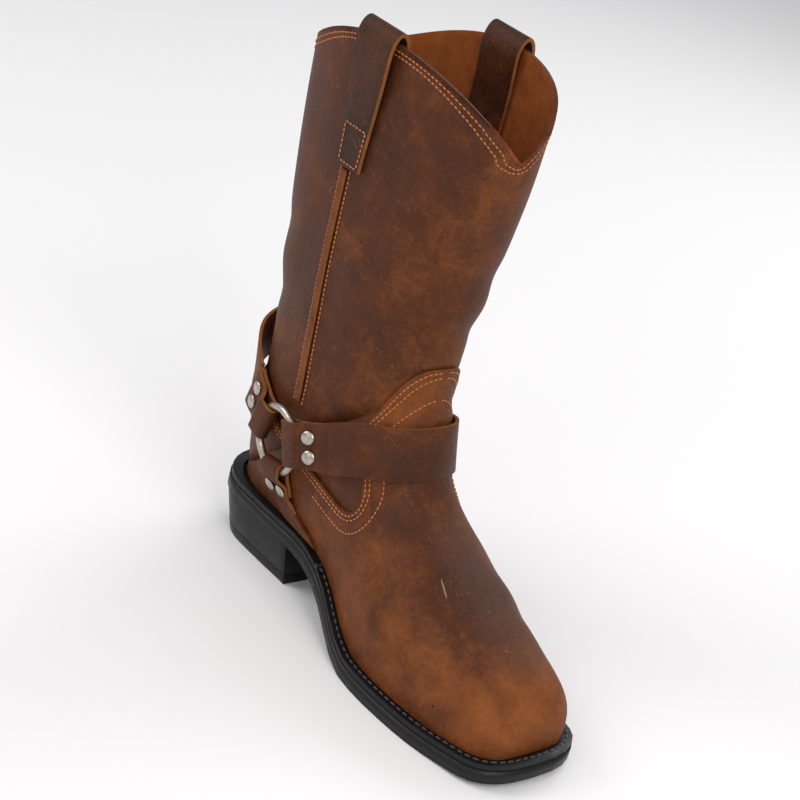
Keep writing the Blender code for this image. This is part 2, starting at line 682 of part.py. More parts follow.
class Ground:
    """The upper's outer face as something to lay straps on: a fine one for places, the real one for heights."""

    def __init__(self, knots, grid):
        self.real = face_tree(knots, grid)
        self.tree = face_tree(*upper_grid(SMOOTH_ROWS))

    def beside(self, x, z, side):
        """The point and outward normal of the face at (x, z), on the medial (-1) or lateral (1) side."""
        place, normal, _, _ = self.tree.ray_cast(Vector((x, side * 0.2, z)), Vector((0, -side, 0)))
        return place, normal

    def around(self, axis_x, turn, z):
        """The point and outward normal of the face seen from outside, at an angle from forward about an axis."""
        outward = Vector((math.cos(turn), math.sin(turn), 0))
        place, normal, _, _ = self.tree.ray_cast(Vector((axis_x, 0, z)) + 0.3 * outward, -outward)
        return place, normal

    def nearest(self, point):
        place, normal, _, _ = self.tree.find_nearest(Vector(point))
        return place, normal

    def height(self, point):
        """Height of a point over the real face: negative inside the leather."""
        place, normal, _, _ = self.real.find_nearest(Vector(point))
        return (Vector(point) - place).dot(normal)

    def lift(self, middle, aside, width, rest):
        """How much further out a flat strap lies so that its whole width clears the leather below."""
        across = [middle + aside * width * share for share in (-0.5, -0.25, 0, 0.25, 0.5)]
        return max(rest - min(self.height(point) for point in across), 0)

    def laid(self, place, normal, aside, width, rest):
        """Where the middle of a flat strap rests so that its whole width clears the leather below."""
        middle = place + normal * rest
        return middle + normal * self.lift(middle, aside, width, rest)


def ring_frame(ground, side):
    """Centre of a ring's wire and the outward normal of its plane, clear of the leather all round."""
    place, _ = ground.beside(*RING_PLACE, side)
    around = [math.radians(15 * step) for step in range(24)]
    rim = [(RING_PLACE[0] + RING_RADIUS * math.cos(a), RING_PLACE[1] + RING_RADIUS * math.sin(a)) for a in around]
    normal = Vector((0, 0, 0))
    for x, z in rim:
        normal += ground.beside(x, z, side)[1]
    normal.normalize()
    turn = normal.to_track_quat("Z", "Y").to_matrix()
    raised = STRAP_REST + WIRE_LAYER
    centre = place + raised * normal
    wire = [centre + RING_RADIUS * (turn @ Vector((math.cos(a), math.sin(a), 0))) for a in around]
    lowest = min(ground.height(point) for point in wire)
    return centre + max(raised - lowest, 0) * normal, normal


def build_ring(name, centre, normal, material, collection):
    bpy.ops.mesh.primitive_torus_add(
        major_radius=RING_RADIUS, minor_radius=RING_WIRE, major_segments=24, minor_segments=8
    )
    made = bpy.context.object
    mesh = made.data
    bpy.data.objects.remove(made)
    mesh.name = name
    turn = normal.to_track_quat("Z", "Y").to_matrix().to_4x4()
    ring = new_object(name, mesh, material, collection)
    ring.matrix_world = Matrix.Translation(centre) @ turn
    return ring


def strip_mesh(name, points, aside, widths):
    """A flat strip along points: aside holds the direction of its width at each point."""
    vertices = []
    for point, across, width in zip(points, aside, widths):
        vertices.append(Vector(point) - Vector(across) * width / 2)
        vertices.append(Vector(point) + Vector(across) * width / 2)
    faces = [(2 * i, 2 * i + 1, 2 * i + 3, 2 * i + 2) for i in range(len(points) - 1)]
    mesh = bpy.data.meshes.new(name)
    mesh.from_pydata([tuple(v) for v in vertices], [], faces)
    return mesh


def build_strip(name, points, aside, widths, thickness, material, collection):
    strip = new_object(name, strip_mesh(name, points, aside, widths), material, collection)
    shell = strip.modifiers.new("thickness", "SOLIDIFY")
    shell.thickness = thickness
    shell.offset = 0
    return strip


def ease(value):
    value = min(max(value, 0.0), 1.0)
    return value * value * (3 - 2 * value)


def strap_heading(strap, normal):
    """Direction in which a strap leaves its ring, and the direction of its width: up, or forward on a low one."""
    turn = math.radians(strap["turn"])
    heading = Vector((math.cos(turn), 0, math.sin(turn)))
    heading = (heading - heading.dot(normal) * normal).normalized()
    aside = normal.cross(heading).normalized()
    wanted = Vector((0, 0, 1)) if abs(heading.x) > abs(heading.z) else Vector((1, 0, 0))
    return heading, aside if aside.dot(wanted) > 0 else -aside


def strap_station(strap, ring, ground, d, layer):
    """A folded strap's middle, width direction and width, d from the ring's centre.

    Layer is -1 for the leather under the ring's wire, 1 for that over it, and between them on the bend.
    Past the ring the strap comes down to the upper, and past the fold's tip the outer layer does too.
    """
    centre, normal = ring
    heading, aside = strap_heading(strap, normal)
    overlap = strap["overlap"] * MM
    widening = ease((d - RING_RADIUS) / overlap)
    width = (strap["end_width"] + (strap["width"] - strap["end_width"]) * widening) * MM
    free = centre + heading * d + normal * (layer * WIRE_LAYER)
    place, upward = ground.nearest(centre + heading * d - normal * WIRE_LAYER)
    laid = ground.laid(place, upward, aside, width, STRAP_REST)
    if layer > 0:
        laid += upward * (STRAP + GAP) * (1 - ease((d - overlap - 1 * MM) / (STEP_DOWN - 1 * MM)))
    settle = ease((d - RING_RADIUS - RING_WIRE) / SETTLE)
    return free.lerp(laid, settle), aside, width


def strap_end(strap, ring, ground):
    """Stations of a strap's end: from its tip under the ring's wire, round it, and back over it."""
    fold = strap["fold"] * MM
    overlap = strap["overlap"] * MM
    places = [(d, -1.0) for d in np.linspace(overlap, fold, 8)]
    places += [(fold - WIRE_LAYER * math.cos(a), math.sin(a)) for a in np.radians((-55, -20, 20, 55))]
    places += [(d, 1.0) for d in np.linspace(fold, overlap + STEP_DOWN, 10)]
    return [strap_station(strap, ring, ground, d, layer) for d, layer in places]


def drawn_taut(lifts):
    """Lifts along a strap with the dips between their peaks bridged, as tight leather bridges them."""
    padded = np.pad(lifts, 2, mode="edge")
    peaks = np.array([max(padded[i : i + 5]) for i in range(len(lifts))])
    padded = np.pad(peaks, 1, mode="edge")
    return [float(np.mean(padded[i : i + 3])) for i in range(len(lifts))]


def build_belt(name, strap, rings, middle, ground, material, collection):
    """A strap round the front or the back of the boot, folded round the ring on each side."""
    medial = strap_end(strap, rings[0], ground)
    lateral = strap_end(strap, rings[1], ground)[::-1]
    width = strap["width"] * MM
    axis_x = middle["axis_x"]
    start, end = medial[-1][0], lateral[0][0]
    first = math.atan2(start.y, start.x - axis_x)
    last = math.atan2(end.y, end.x - axis_x)
    if middle["behind"]:
        last -= 2 * math.pi
    places = [(start, None, 0.0)]
    for share in np.linspace(0, 1, BELT_STATIONS)[1:-1]:
        rise = math.sin(math.pi * share) ** 1.3
        z = (start.z + (end.z - start.z) * share) * (1 - rise) + middle["height"] * rise
        place, normal = ground.around(axis_x, first + (last - first) * share, z)
        places.append((place, normal, rise))
    places.append((end, None, 0.0))
    run = []
    lifts = []
    for (before, _, _), (place, normal, rise), (after, _, _) in zip(places, places[1:], places[2:]):
        aside = (after - before).cross(normal).normalized()
        aside = aside if aside.z > 0 else -aside
        point = place + normal * (STRAP_REST + middle["off"] * rise)
        run.append((point, normal, aside))
        lifts.append(ground.lift(point, aside, width, STRAP_REST))
    run = [(point + normal * lift, aside, width) for (point, normal, aside), lift in zip(run, drawn_taut(lifts))]
    points, asides, widths = zip(*(medial + run + lateral))
    return build_strip(name, points, asides, widths, STRAP, material, collection)


def build_low_strap(name, strap, ring, side, ground, material, collection):
    """A strap from a ring down to the welt."""
    stations = strap_end(strap, ring, ground)
    start, _, first_width = stations[-1]
    foot_z = float(bottom_z(LOW_STRAP_FOOT_X)) + OUTSOLE + WELT + LOW_STRAP_LIFT
    for share in np.linspace(0, 1, 7)[1:]:
        x = start.x + (LOW_STRAP_FOOT_X - start.x) * share
        place, normal = ground.beside(x, start.z + (foot_z - start.z) * share, side)
        width = first_width + (LOW_STRAP_FOOT_WIDTH - first_width) * share
        aside = Vector((1, 0, -LOW_STRAP_SLOPE * share))
        aside = (aside - aside.dot(normal) * normal).normalized()
        stations.append((ground.laid(place, normal, aside, width, STRAP_REST), aside, width))
    points, asides, widths = zip(*stations)
    return build_strip(name, points, asides, widths, STRAP, material, collection)


def build_rivets(name, strap, ring, ground, material, collection):
    """A pair of domed rivet heads across a folded strap end."""
    d = strap["rivets"] * MM
    middle, aside, _ = strap_station(strap, ring, ground, d, 1.0)
    under = [strap_station(strap, ring, ground, d + share * RIVET_RADIUS, 1.0)[0] for share in (-1, -0.5, 0.5, 1)]
    upward = (under[-1] - under[0]).cross(aside).normalized()
    upward = upward if upward.dot(ring[1]) > 0 else -upward
    proud = max(0, *((point - middle).dot(upward) for point in under))
    dome = [(math.sin(a) * RIVET_RADIUS, 0, math.cos(a) * RIVET_DOME) for a in np.radians((0, 35, 70))]
    profile = dome + [(RIVET_RADIUS, 0, 0), (0, 0, 0)]
    rivets = []
    for number, share in ((1, -0.5), (2, 0.5)):
        foot = middle + upward * (STRAP / 2 + RIVET_GAP + proud) + aside * share * RIVET_PITCH
        mesh = bpy.data.meshes.new(f"{name}_{number}")
        mesh.from_pydata(profile, [(i, i + 1) for i in range(len(profile) - 1)], [])
        rivet = new_object(f"{name}_{number}", mesh, material, collection)
        turned = rivet.modifiers.new("turned", "SCREW")
        turned.steps = turned.render_steps = 10
        turned.use_merge_vertices = True
        turned.merge_threshold = 1e-5
        rivet.matrix_world = Matrix.Translation(foot) @ upward.to_track_quat("Z", "Y").to_matrix().to_4x4()
        rivets.append(rivet)
    return rivets


def pull_leg(side, foot_z, way, ground):
    """One leg of a pull strap from its foot up to the rim: way is 1 outside the shaft and -1 inside it."""
    aside = Vector((1, 0, 0))
    rest = PULL_STRAP / 2 + GAP + (0 if way > 0 else WALL)
    leg = []
    for z in np.linspace(foot_z, PULL_RIM_Z, 8):
        place, normal = ground.beside(PULL_X, z, side)
        bow = PULL_BOW * ease((z - foot_z) / (PULL_RIM_Z - foot_z)) ** 2
        middle = place + normal * way * (rest + bow)
        across = [middle + aside * PULL_WIDTH * share for share in (-0.5, -0.25, 0, 0.25, 0.5)]
        short = rest - min(way * ground.height(point) for point in across)
        leg.append(middle + normal * way * max(short, 0))
    return leg


def build_pull_strap(name, side, ground, material, collection):
    """A pull strap sewn outside and inside the rim, standing over it as a loop."""
    outside = pull_leg(side, PULL_FOOT_Z, 1, ground)
    inside = pull_leg(side, PULL_INSIDE_Z, -1, ground)[::-1]
    middle = (outside[-1] + inside[0]) / 2
    reach = (outside[-1] - inside[0]) / 2
    loop = []
    for turn in np.radians((20, 45, 70, 90, 110, 135, 160)):
        loop.append(middle + reach * math.cos(turn) + Vector((0, 0, PULL_CREST * math.sin(turn))))
    stations = outside + loop + inside
    shares = np.linspace(0, 3, len(stations))
    widths = [PULL_FOOT_WIDTH + (PULL_WIDTH - PULL_FOOT_WIDTH) * ease(share) for share in shares]
    asides = [Vector((1, 0, 0))] * len(stations)
    return build_strip(name, stations, asides, widths, PULL_STRAP, material, collection)


def build_piping(name, side, ground, material, collection):
    """The raised strip down the shaft's side seam, from under the pull strap to the ring."""
    stations = []
    for z in np.linspace(PIPING_LOW_Z, PULL_FOOT_Z - 2 * MM, 14):
        place, normal = ground.beside(SEAM_X, z, side)
        stations.append(ground.laid(place, normal, Vector((1, 0, 0)), PIPING_WIDTH, GAP + PIPING / 2))
    asides = [Vector((1, 0, 0))] * len(stations)
    return build_strip(name, stations, asides, [PIPING_WIDTH] * len(stations), PIPING, material, collection)


def clear_scene():
    for piece in list(bpy.data.objects):
        bpy.data.objects.remove(piece)


def main():
    clear_scene()
    boot = bpy.data.collections.new("harness_boot")
    cutters = bpy.data.collections.new("cutters")
    bpy.context.scene.collection.children.link(boot)
    bpy.context.scene.collection.children.link(cutters)
    leather = make_material("brown_leather", (0.20, 0.075, 0.03), 0.55)
    rubber = make_material("black_rubber", (0.012, 0.012, 0.013), 0.45)
    board = make_material("insole_leather", (0.30, 0.17, 0.09), 0.8)
    nickel = make_material("satin_nickel", (0.6, 0.58, 0.54), 0.3, 1.0)
    knots, grid = upper_grid()
    normals = grid_normals(knots, grid)
    ground = Ground(knots, grid)
    pieces = [
        build_outsole(rubber, boot),
        build_welt(rubber, boot),
        build_insole(board, boot),
        heel_slab("heel_block", HEEL_CAP + GAP, None, rubber, boot),
        heel_slab("heel_cap", 0.0, HEEL_CAP, rubber, boot),
        build_upper(knots, grid, normals, leather, boot),
    ]
    panels, outlines = build_overlays(knots, grid, normals, leather, cutters, boot)
    pieces += panels
    rings = []
    for side, word in ((-1, "medial"), (1, "lateral")):
        ring = ring_frame(ground, side)
        rings.append(ring)
        pieces.append(build_ring("ring_" + word, *ring, nickel, boot))
        pieces.append(build_low_strap("low_strap_" + word, LOW_STRAP, ring, side, ground, leather, boot))
        pieces.append(build_pull_strap("pull_strap_" + word, side, ground, leather, boot))
        pieces.append(build_piping("seam_piping_" + word, side, ground, leather, boot))
        for place, strap in (("front", FRONT_STRAP), ("back", BACK_STRAP), ("low", LOW_STRAP)):
            pieces += build_rivets(f"rivet_{place}_{word}", strap, ring, ground, nickel, boot)
    pieces.append(build_belt("front_strap", FRONT_STRAP, rings, FRONT_MIDDLE, ground, leather, boot))
    pieces.append(build_belt("back_strap", BACK_STRAP, rings, BACK_MIDDLE, ground, leather, boot))
    root = bpy.data.objects.new("boot_root", None)
    boot.objects.link(root)
    root.location = (-HEEL_REST_X, 0, 0)
    for piece in pieces + outlines:
        piece.parent = root


main()
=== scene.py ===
"""Looks of a left harness boot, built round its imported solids.

Lengths are in metres unless a name or a comment says millimetres. X runs from the heel to the toe, Y to the
lateral side and Z up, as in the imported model. Tables of places count X from the back of the heel.
"""
import math

import bmesh
import bpy
import numpy as np
from mathutils import Matrix, Vector
from mathutils.bvhtree import BVHTree


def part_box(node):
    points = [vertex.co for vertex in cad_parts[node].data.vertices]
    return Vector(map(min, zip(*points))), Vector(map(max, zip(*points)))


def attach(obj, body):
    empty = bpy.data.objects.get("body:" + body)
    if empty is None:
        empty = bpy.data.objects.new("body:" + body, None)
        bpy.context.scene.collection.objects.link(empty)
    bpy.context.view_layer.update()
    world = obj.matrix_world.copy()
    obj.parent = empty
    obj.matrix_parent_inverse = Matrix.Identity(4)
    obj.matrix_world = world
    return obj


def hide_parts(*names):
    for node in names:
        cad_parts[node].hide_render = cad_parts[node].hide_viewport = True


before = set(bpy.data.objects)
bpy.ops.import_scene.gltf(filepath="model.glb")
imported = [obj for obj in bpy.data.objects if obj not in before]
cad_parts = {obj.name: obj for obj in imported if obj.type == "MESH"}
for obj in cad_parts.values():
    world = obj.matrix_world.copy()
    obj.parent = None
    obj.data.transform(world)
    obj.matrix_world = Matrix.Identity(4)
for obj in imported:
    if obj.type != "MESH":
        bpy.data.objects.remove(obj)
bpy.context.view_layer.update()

bl_info = {
    "name": "Harness boot looks",
    "version": (1, 0, 0),
    "blender": (4, 5, 0),
    "location": "View3D > Sidebar > Boot",
    "description": "Dresses the packed harness boot in leather, rubber, nickel and thread",
    "category": "Object",
}

MM = 0.001
HEEL_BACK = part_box("outsole")[0].x
SIDES = ((-1, "medial"), (1, "lateral"))

# Middle line of the boot's inside, in millimetres, from the collar down and along the foot
INSIDE_LINE = (
    (70, 0, 330), (72, 0, 240), (75, 0, 150), (95, 0, 90), (160, 0, 60), (230, 0, 38), (275, 0, 30),
)

# Upper edges of the overlays in millimetres, seen from the side
VAMP_EDGE = (
    (78.5, 93), (92, 91), (104, 89), (118, 86), (131, 83.5), (139, 84.5), (143.5, 90), (143.5, 98),
    (139.5, 107), (133, 118), (127.5, 127), (126, 136), (129, 146), (134, 159), (139.5, 172), (145, 181),
    (152, 185),
)
COUNTER_EDGE = ((78, 93), (66, 97), (50, 103), (30, 109), (8, 113), (-12, 115))
OVERLAY_SEAM_X = 78.2
COLLAR_CENTRE = Vector((HEEL_BACK + 72 * MM, 0, 312 * MM))
COLLAR_RADIUS = 45 * MM

# The vamp's rows of stitches: how far in millimetres they lie inside its edge, and the points of the edge
# that they run from and to
VAMP_EDGE_POINTS = 260
VAMP_ROWS = ((2.2, 0, 260), (4.8, 0, 260), (12.5, 44, 240))

# The same for the heel counter
COUNTER_EDGE_POINTS = 120
COUNTER_ROWS = ((2.2, 4, 108), (4.8, 4, 108))

# How far the rim's rows of stitches lie under the collar's edge
RIM_ROWS = (3.4 * MM, 6.0 * MM)

# The side seam's place, its rows' distance from it and their lower and upper end, in millimetres
SEAM_X = 71.5
SEAM_ROW_ASIDE = 4.4
SEAM_ROW_ENDS = (122, 279)

# The box of stitches on each pull strap's foot as (x, z) in millimetres
PULL_STRAP_BOX = ((66.8, 280.5), (65.6, 303), (84.4, 303), (83.2, 280.5), (66.8, 280.5))

# The welt's and the sole's stitches: their colour, and how far in millimetres they lie inside the edge
WELT_THREAD_COLOUR = (0.05, 0.05, 0.055)
WELT_ROW_INSET = 3.4
SOLE_ROW_INSET = 7.5

# How far the pull strap's loop settles, and the height and length over which it does
LOOP_SETTLE = 4.5 * MM
LOOP_SETTLE_START = 344 * MM
LOOP_SETTLE_LENGTH = 15 * MM

# The rings' wire, and the rivets' caps: how flat they are and how deep they sit
RING_RADIUS = 20.5 * MM
RING_WIRE = 2.5 * MM
RIVET_RADIUS = 4.55 * MM
RIVET_FLATNESS = 0.42
RIVET_SINK = 0.95 * MM

# A strap's face is a cut edge where its normal lies along the strap's width by more than this share
RAW_EDGE_FACING = 0.72

# The solids that are dressed as they are, and their finishes
SOLE_FINISHES = {
    "outsole": "sole rubber", "heel_cap": "sole rubber", "heel_block": "side rubber",
    "welt": "side rubber", "insole": "insole",
}

# Points nearer than this are one point
MERGE_DISTANCE = 1e-5

# Angles over which an edge counts as sharp: as a rule, in a strap's form, and in the shading of panels
# and of the sole's pieces
PIECE_SHARP = math.radians(50)
STRAP_SHARP = math.radians(42)
PANEL_SHADE_SHARP = math.radians(38)
RUBBER_SHADE_SHARP = math.radians(35)

# Rounding of the rubber's edges and of the rivets' rims
RUBBER_EDGE = 0.7 * MM
RIVET_EDGE = 0.35 * MM

# Marks on the foot: the pinhole's x and z on the medial side, and the others' x and y seen from above
PINHOLE = (254.6, 28.7)
# The pinhole is not cut: a near-black dot of painted shade stands for the dark inside of the hole
PINHOLE_SHADE_COLOUR = (0.01, 0.006, 0.004, 1)
PINHOLE_RADIUS = 0.9 * MM
PALE_DOT = (258, -1)
PALE_DOT_RADIUS = 0.8 * MM
SCRATCH = ((208, -17), (219, -19.5))
SCRATCH_COLOUR = (0.4, 0.26, 0.15, 1)
SCRATCH_DETOUR = 0.05 * MM

# How far aside of the boot, in metres, the level lines that look for a skin start
OUTSIDE = 0.3

# Heights at which the sole's edge is looked for
SOLE_HEIGHTS = np.linspace(6 * MM, 34 * MM, 15)

# Middle of the forefoot's tread, and where the sole's stitches start behind it, in millimetres
TREAD_CENTRE = (215, 4)
TREAD_BACK_X = 98

# The panels that lie over the upper
PANEL_GAP = 0.45 * MM
PANEL_THICKNESS = 1.45 * MM

# Far corners of the panels' outlines, outside the boot, and how far aside the prisms over them reach
VAMP_CORNER = (330, 185)
COUNTER_CORNER = (-30, 115)
PRISM_REACH = 0.09

# Half the gap between the vamp and the counter at their seam, in millimetres
OVERLAY_SEAM_GAP = 0.15

# A face is on the upper's outside where its normal points out by more than this share
OUTER_FACING = 0.15

# A point is on the collar's edge where its normal points up by more than this and it is not too low
RIM_FACING = 0.35
RIM_DEPTH = 10 * MM

# The leather's grain, and its scuffs: their lean in radians, their size, and the noise over which they show
GRAIN_DEPTH = 0.28 * MM
SCUFF_LEANS = (0.6, -0.9)
SCUFF_SIZE = (0.9 * MM, 2.0 * MM, 18 * MM)
SCUFF_LEVEL = 0.71

# Soft troughs and ridges pressed into the leather: the x and z of a line's two ends seen from the side, the
# sides that it shows on, how wide it is and how deep (negative stands out), all in millimetres
CREASES = (
    (118, 196, 160, 206, "both", 7, 1.0),
    (112, 212, 160, 224, "both", 8, -0.7),
    (108, 232, 160, 242, "both", 9, 0.8),
    (-5, 168, 40, 176, "both", 9, 1.1),
    (-5, 190, 34, 200, "both", 9, -0.8),
    (-8, 212, 30, 222, "both", 8, 0.8),
    (36, 150, 60, 246, "medial", 12, 0.7),
    (96, 160, 92, 260, "medial", 13, -0.7),
    (104, 255, 118, 330, "medial", 14, 0.8),
    (30, 262, 22, 330, "medial", 14, 0.7),
    (40, 160, 60, 250, "lateral", 13, 0.7),
    (100, 170, 110, 300, "lateral", 14, 0.8),
    (170, 92, 186, 66, "medial", 9, 0.7),
    (188, 88, 204, 52, "both", 11, 0.9),
    (208, 80, 220, 46, "both", 10, -0.6),
    (222, 72, 232, 40, "lateral", 10, 0.8),
    (150, 78, 172, 56, "both", 11, 0.6),
    (238, 66, 272, 50, "both", 14, 0.6),
)

CREASE_STRENGTH = 1.3

# Tones of the waxed leather, partly its own mottling and partly painted highlights (toe, ankle) and painted
# shade:
# a spot's x, y, z and radius in millimetres, and how much lighter (or darker, if negative) it is painted
# there
TONE_AND_LIGHT_SPOTS = (
    (285, -5, 38, 34, 0.3),
    (292, -34, 30, 22, 0.4),
    (252, 0, 60, 30, -0.25),
    (205, -14, 78, 34, -0.38),
    (222, -45, 45, 30, 0.3),
    (178, -40, 60, 34, 0.1),
    (150, -34, 60, 28, 0.05),
    (120, -38, 60, 26, 0.12),
    (150, 0, 160, 26, 0.2),
    (140, -20, 160, 20, 0.1),
    (146, -20, 250, 44, 0.22),
    (155, 0, 300, 34, 0.34),
    (104, -44, 280, 44, -0.28),
    (40, -44, 300, 40, -0.3),
    (20, -42, 190, 44, -0.12),
    (70, -44, 200, 34, -0.2),
    (110, -40, 200, 30, -0.12),
    (10, -30, 95, 34, 0.6),
    (20, -20, 60, 30, -0.3),
    (60, -44, 340, 26, -0.2),
    (285, 20, 38, 30, 0.4),
    (205, 30, 70, 34, -0.3),
    (230, 48, 40, 30, 0.3),
    (140, 48, 60, 34, 0.25),
    (100, 45, 270, 50, -0.25),
    (30, 40, 240, 50, 0.15),
)

# Where the lights and the camera aim
BOOT_MIDDLE = Vector((0.07, 0, 0.15))

# The soft lights: name, place, width and power in watts
LIGHTS = (
    ("key", (-0.9, -1.1, 1.3), 1.0, 11),
    ("side", (1.3, -0.3, 1.1), 0.9, 10),
    ("front", (0.6, -1.6, 0.9), 1.0, 4),
    ("back", (-0.3, 1.4, 1.2), 1.0, 9),
)
WORLD_COLOUR = (0.97, 0.98, 1.0, 1)
WORLD_STRENGTH = 0.52

# The camera, fitted to the photo by its outlines: angles in degrees round the boot's middle
CAMERA_AZIMUTH = 45.9
CAMERA_ELEVATION = 25.7
CAMERA_ROLL = 15.8
CAMERA_DISTANCE = 1.111
CAMERA_LENS = 83.9
CAMERA_SHIFT = (-0.006, -0.006)


def linear(hex_colour):
    """An sRGB hex colour as linear red, green, blue and alpha."""
    channels = [int(hex_colour[i : i + 2], 16) / 255 for i in (1, 3, 5)]
    return (*(c / 12.92 if c <= 0.04045 else ((c + 0.055) / 1.055) ** 2.4 for c in channels), 1.0)


def colour_property(name, description, hex_colour):
    """A colour setting that starts at an sRGB hex colour."""
    default = linear(hex_colour)[:3]
    return bpy.props.FloatVectorProperty(
        name=name, description=description, subtype="COLOR", size=3, min=0, max=1, default=default
    )


def size_property(name, description, default):
    """A length setting."""
    return bpy.props.FloatProperty(name=name, description=description, unit="LENGTH", min=0, default=default)


class BootColours(bpy.types.PropertyGroup):
    """Colours of the boot's finishes."""

    leather_dark: colour_property("Dark leather", "Where the wax has soaked in", "#2a1307")
    leather_mid: colour_property("Leather", "The hide's own brown", "#4f260c")
    leather_light: colour_property("Pulled-up leather", "Where bending has moved the wax away", "#884a1c")
    lining: colour_property("Lining", "The flesh side inside the shaft", "#8a4a22")
    cut_edge: colour_property("Cut edge", "Raw edges of the straps", "#8d5a30")
    thread: colour_property("Thread", "The waxed polyester thread", "#c4702e")
    rubber: colour_property("Rubber", "The moulded sole", "#0a0b0b")
    nickel: colour_property("Nickel", "Rings and rivets", "#b9b2a8")
    floor: colour_property("Floor", "The pale floor", "#fbf9f9")


class BootSizes(bpy.types.PropertyGroup):
    """Sizes of the boot's fine work."""

    stitch_pitch: size_property("Stitch pitch", "Distance from one stitch to the next", 3.1 * MM)
    stitch_length: size_property("Stitch length", "Length of the thread that shows", 2.5 * MM)
    thread_width: size_property("Thread width", "Thickness of the thread", 1.0 * MM)
    welt_pitch: size_property("Welt pitch", "Distance between the welt's stitches", 5.2 * MM)
    edge_radius: size_property("Edge radius", "Rounding of the straps' edges", 0.45 * MM)
    grain: size_property("Grain", "Width of one pebble of the leather's grain", 1.1 * MM)


def looks():
    """The scene's colours and sizes."""
    scene = bpy.context.scene
    return scene.boot_colours, scene.boot_sizes


def add_node(tree, kind, links=None, **settings):
    """Adds a shader node. Settings are properties or values of inputs, and links feed inputs."""
    node = tree.nodes.new(kind)
    for name, value in settings.items():
        if hasattr(node, name):
            setattr(node, name, value)
        else:
            node.inputs[name.replace("_", " ")].default_value = value
    for name, source in (links or {}).items():
        tree.links.new(source, node.inputs[name])
    return node


def new_material(name, roughness=0.5, metallic=0.0, **sockets):
    """A material with its shader set up, and the tree and shader to build on."""
    material = bpy.data.materials.new(name)
    material.use_nodes = True
    tree = material.node_tree
    shader = tree.nodes["Principled BSDF"]
    shader.inputs["Roughness"].default_value = roughness
    shader.inputs["Metallic"].default_value = metallic
    for socket, value in sockets.items():
        shader.inputs[socket.replace("_", " ")].default_value = value
    return material, tree, shader


def ramp(tree, source, stops):
    """A colour ramp over a value: each stop is (position, linear colour)."""
    node = add_node(tree, "ShaderNodeValToRGB", {"Fac": source})
    elements = node.color_ramp.elements
    while len(elements) < len(stops):
        elements.new(0.5)
    for element, (position, colour) in zip(elements, stops):
        element.position = position
        element.color = (*colour, 1)
    return node.outputs["Color"]


def weighted(tree, *parts):
    """The sum of values, each times its weight."""
    total = None
    for value, weight in parts:
        part = maths(tree, "MULTIPLY", value, weight)
        total = part if total is None else maths(tree, "ADD", total, part)
    return total


def gloss(tree, shader, value, low, high):
    """Sets the roughness from low to high as a value goes over the middle of its range."""
    node = add_node(
        tree, "ShaderNodeMapRange", {"Value": value}, From_Min=0.3, From_Max=0.7, To_Min=low, To_Max=high
    )
    tree.links.new(node.outputs[0], shader.inputs["Roughness"])


def bumps(tree, shader, height, strength, depth, invert=False):
    """Raises a height on the surface, as deep as depth in metres."""
    node = add_node(tree, "ShaderNodeBump", {"Height": height}, Strength=strength, Distance=depth)
    node.invert = invert
    tree.links.new(node.outputs["Normal"], shader.inputs["Normal"])


def pebbles(tree, place, size):
    """Rounded pebbles about one size across, in metres: their distance from each middle."""
    return add_node(
        tree, "ShaderNodeTexVoronoi", {"Vector": place}, feature="SMOOTH_F1", Scale=1 / size
    ).outputs["Distance"]


def maths(tree, operation, first, second=0.0):
    """A Math node of one or two inputs, each a socket or a number."""
    node = add_node(tree, "ShaderNodeMath", operation=operation)
    for socket, value in zip(node.inputs, (first, second)):
        if isinstance(value, (int, float)):
            socket.default_value = value
        else:
            tree.links.new(value, socket)
    return node.outputs[0]


def noise(tree, place, size, detail=4.0, roughness=0.55, distortion=0.0):
    """Noise whose lumps are about one size across, in metres."""
    node = add_node(
        tree, "ShaderNodeTexNoise", {"Vector": place},
        Scale=1 / size, Detail=detail, Roughness=roughness, Distortion=distortion,
    )
    return node.outputs["Fac"]


def waxed_leather(name, shift=0.0, grain_strength=0.75):
    """Oiled, waxed cowhide: matte, mottled, lighter where it has been bent and scuffed, with painted
    highlights and painted shade in its tones, and a fine grain.
    """
    colours, sizes = looks()
    material, tree, shader = new_material(name, roughness=0.55, Specular_IOR_Level=0.22)
    place = add_node(tree, "ShaderNodeTexCoord").outputs["Object"]
    clouds = noise(tree, place, 70 * MM, detail=3.0, distortion=0.6)
    blotches = noise(tree, place, 17 * MM, detail=9.0, roughness=0.68, distortion=0.5)
    flecks = noise(tree, place, 3.2 * MM, detail=6.0, roughness=0.75)
    # The tone mixes the leather's own lighter and darker spots with painted highlights and painted shade
    tone = add_node(tree, "ShaderNodeAttribute", attribute_name="tone").outputs["Fac"]
    mixed = weighted(tree, (clouds, 0.32), (blotches, 0.42), (flecks, 0.26), (tone, 0.2))
    mixed = maths(tree, "ADD", mixed, shift)
    stops = ((0.30, colours.leather_dark), (0.5, colours.leather_mid), (0.76, colours.leather_light))
    hide = ramp(tree, mixed, stops)
    hide = scuffs(tree, place, hide, (*colours.leather_light, 1))
    tree.links.new(marks(tree, place, hide), shader.inputs["Base Color"])
    gloss(tree, shader, mixed, 0.43, 0.66)
    grain = pebbles(tree, place, sizes.grain)
    pores = noise(tree, place, 0.5 * MM, detail=2.0)
    wrinkles = noise(tree, place, 5.5 * MM, detail=5.0, roughness=0.6, distortion=0.8)
    height = weighted(tree, (grain, -1.3), (pores, 0.6), (wrinkles, 1.8))
    bumps(tree, shader, height, grain_strength, GRAIN_DEPTH)
    return material


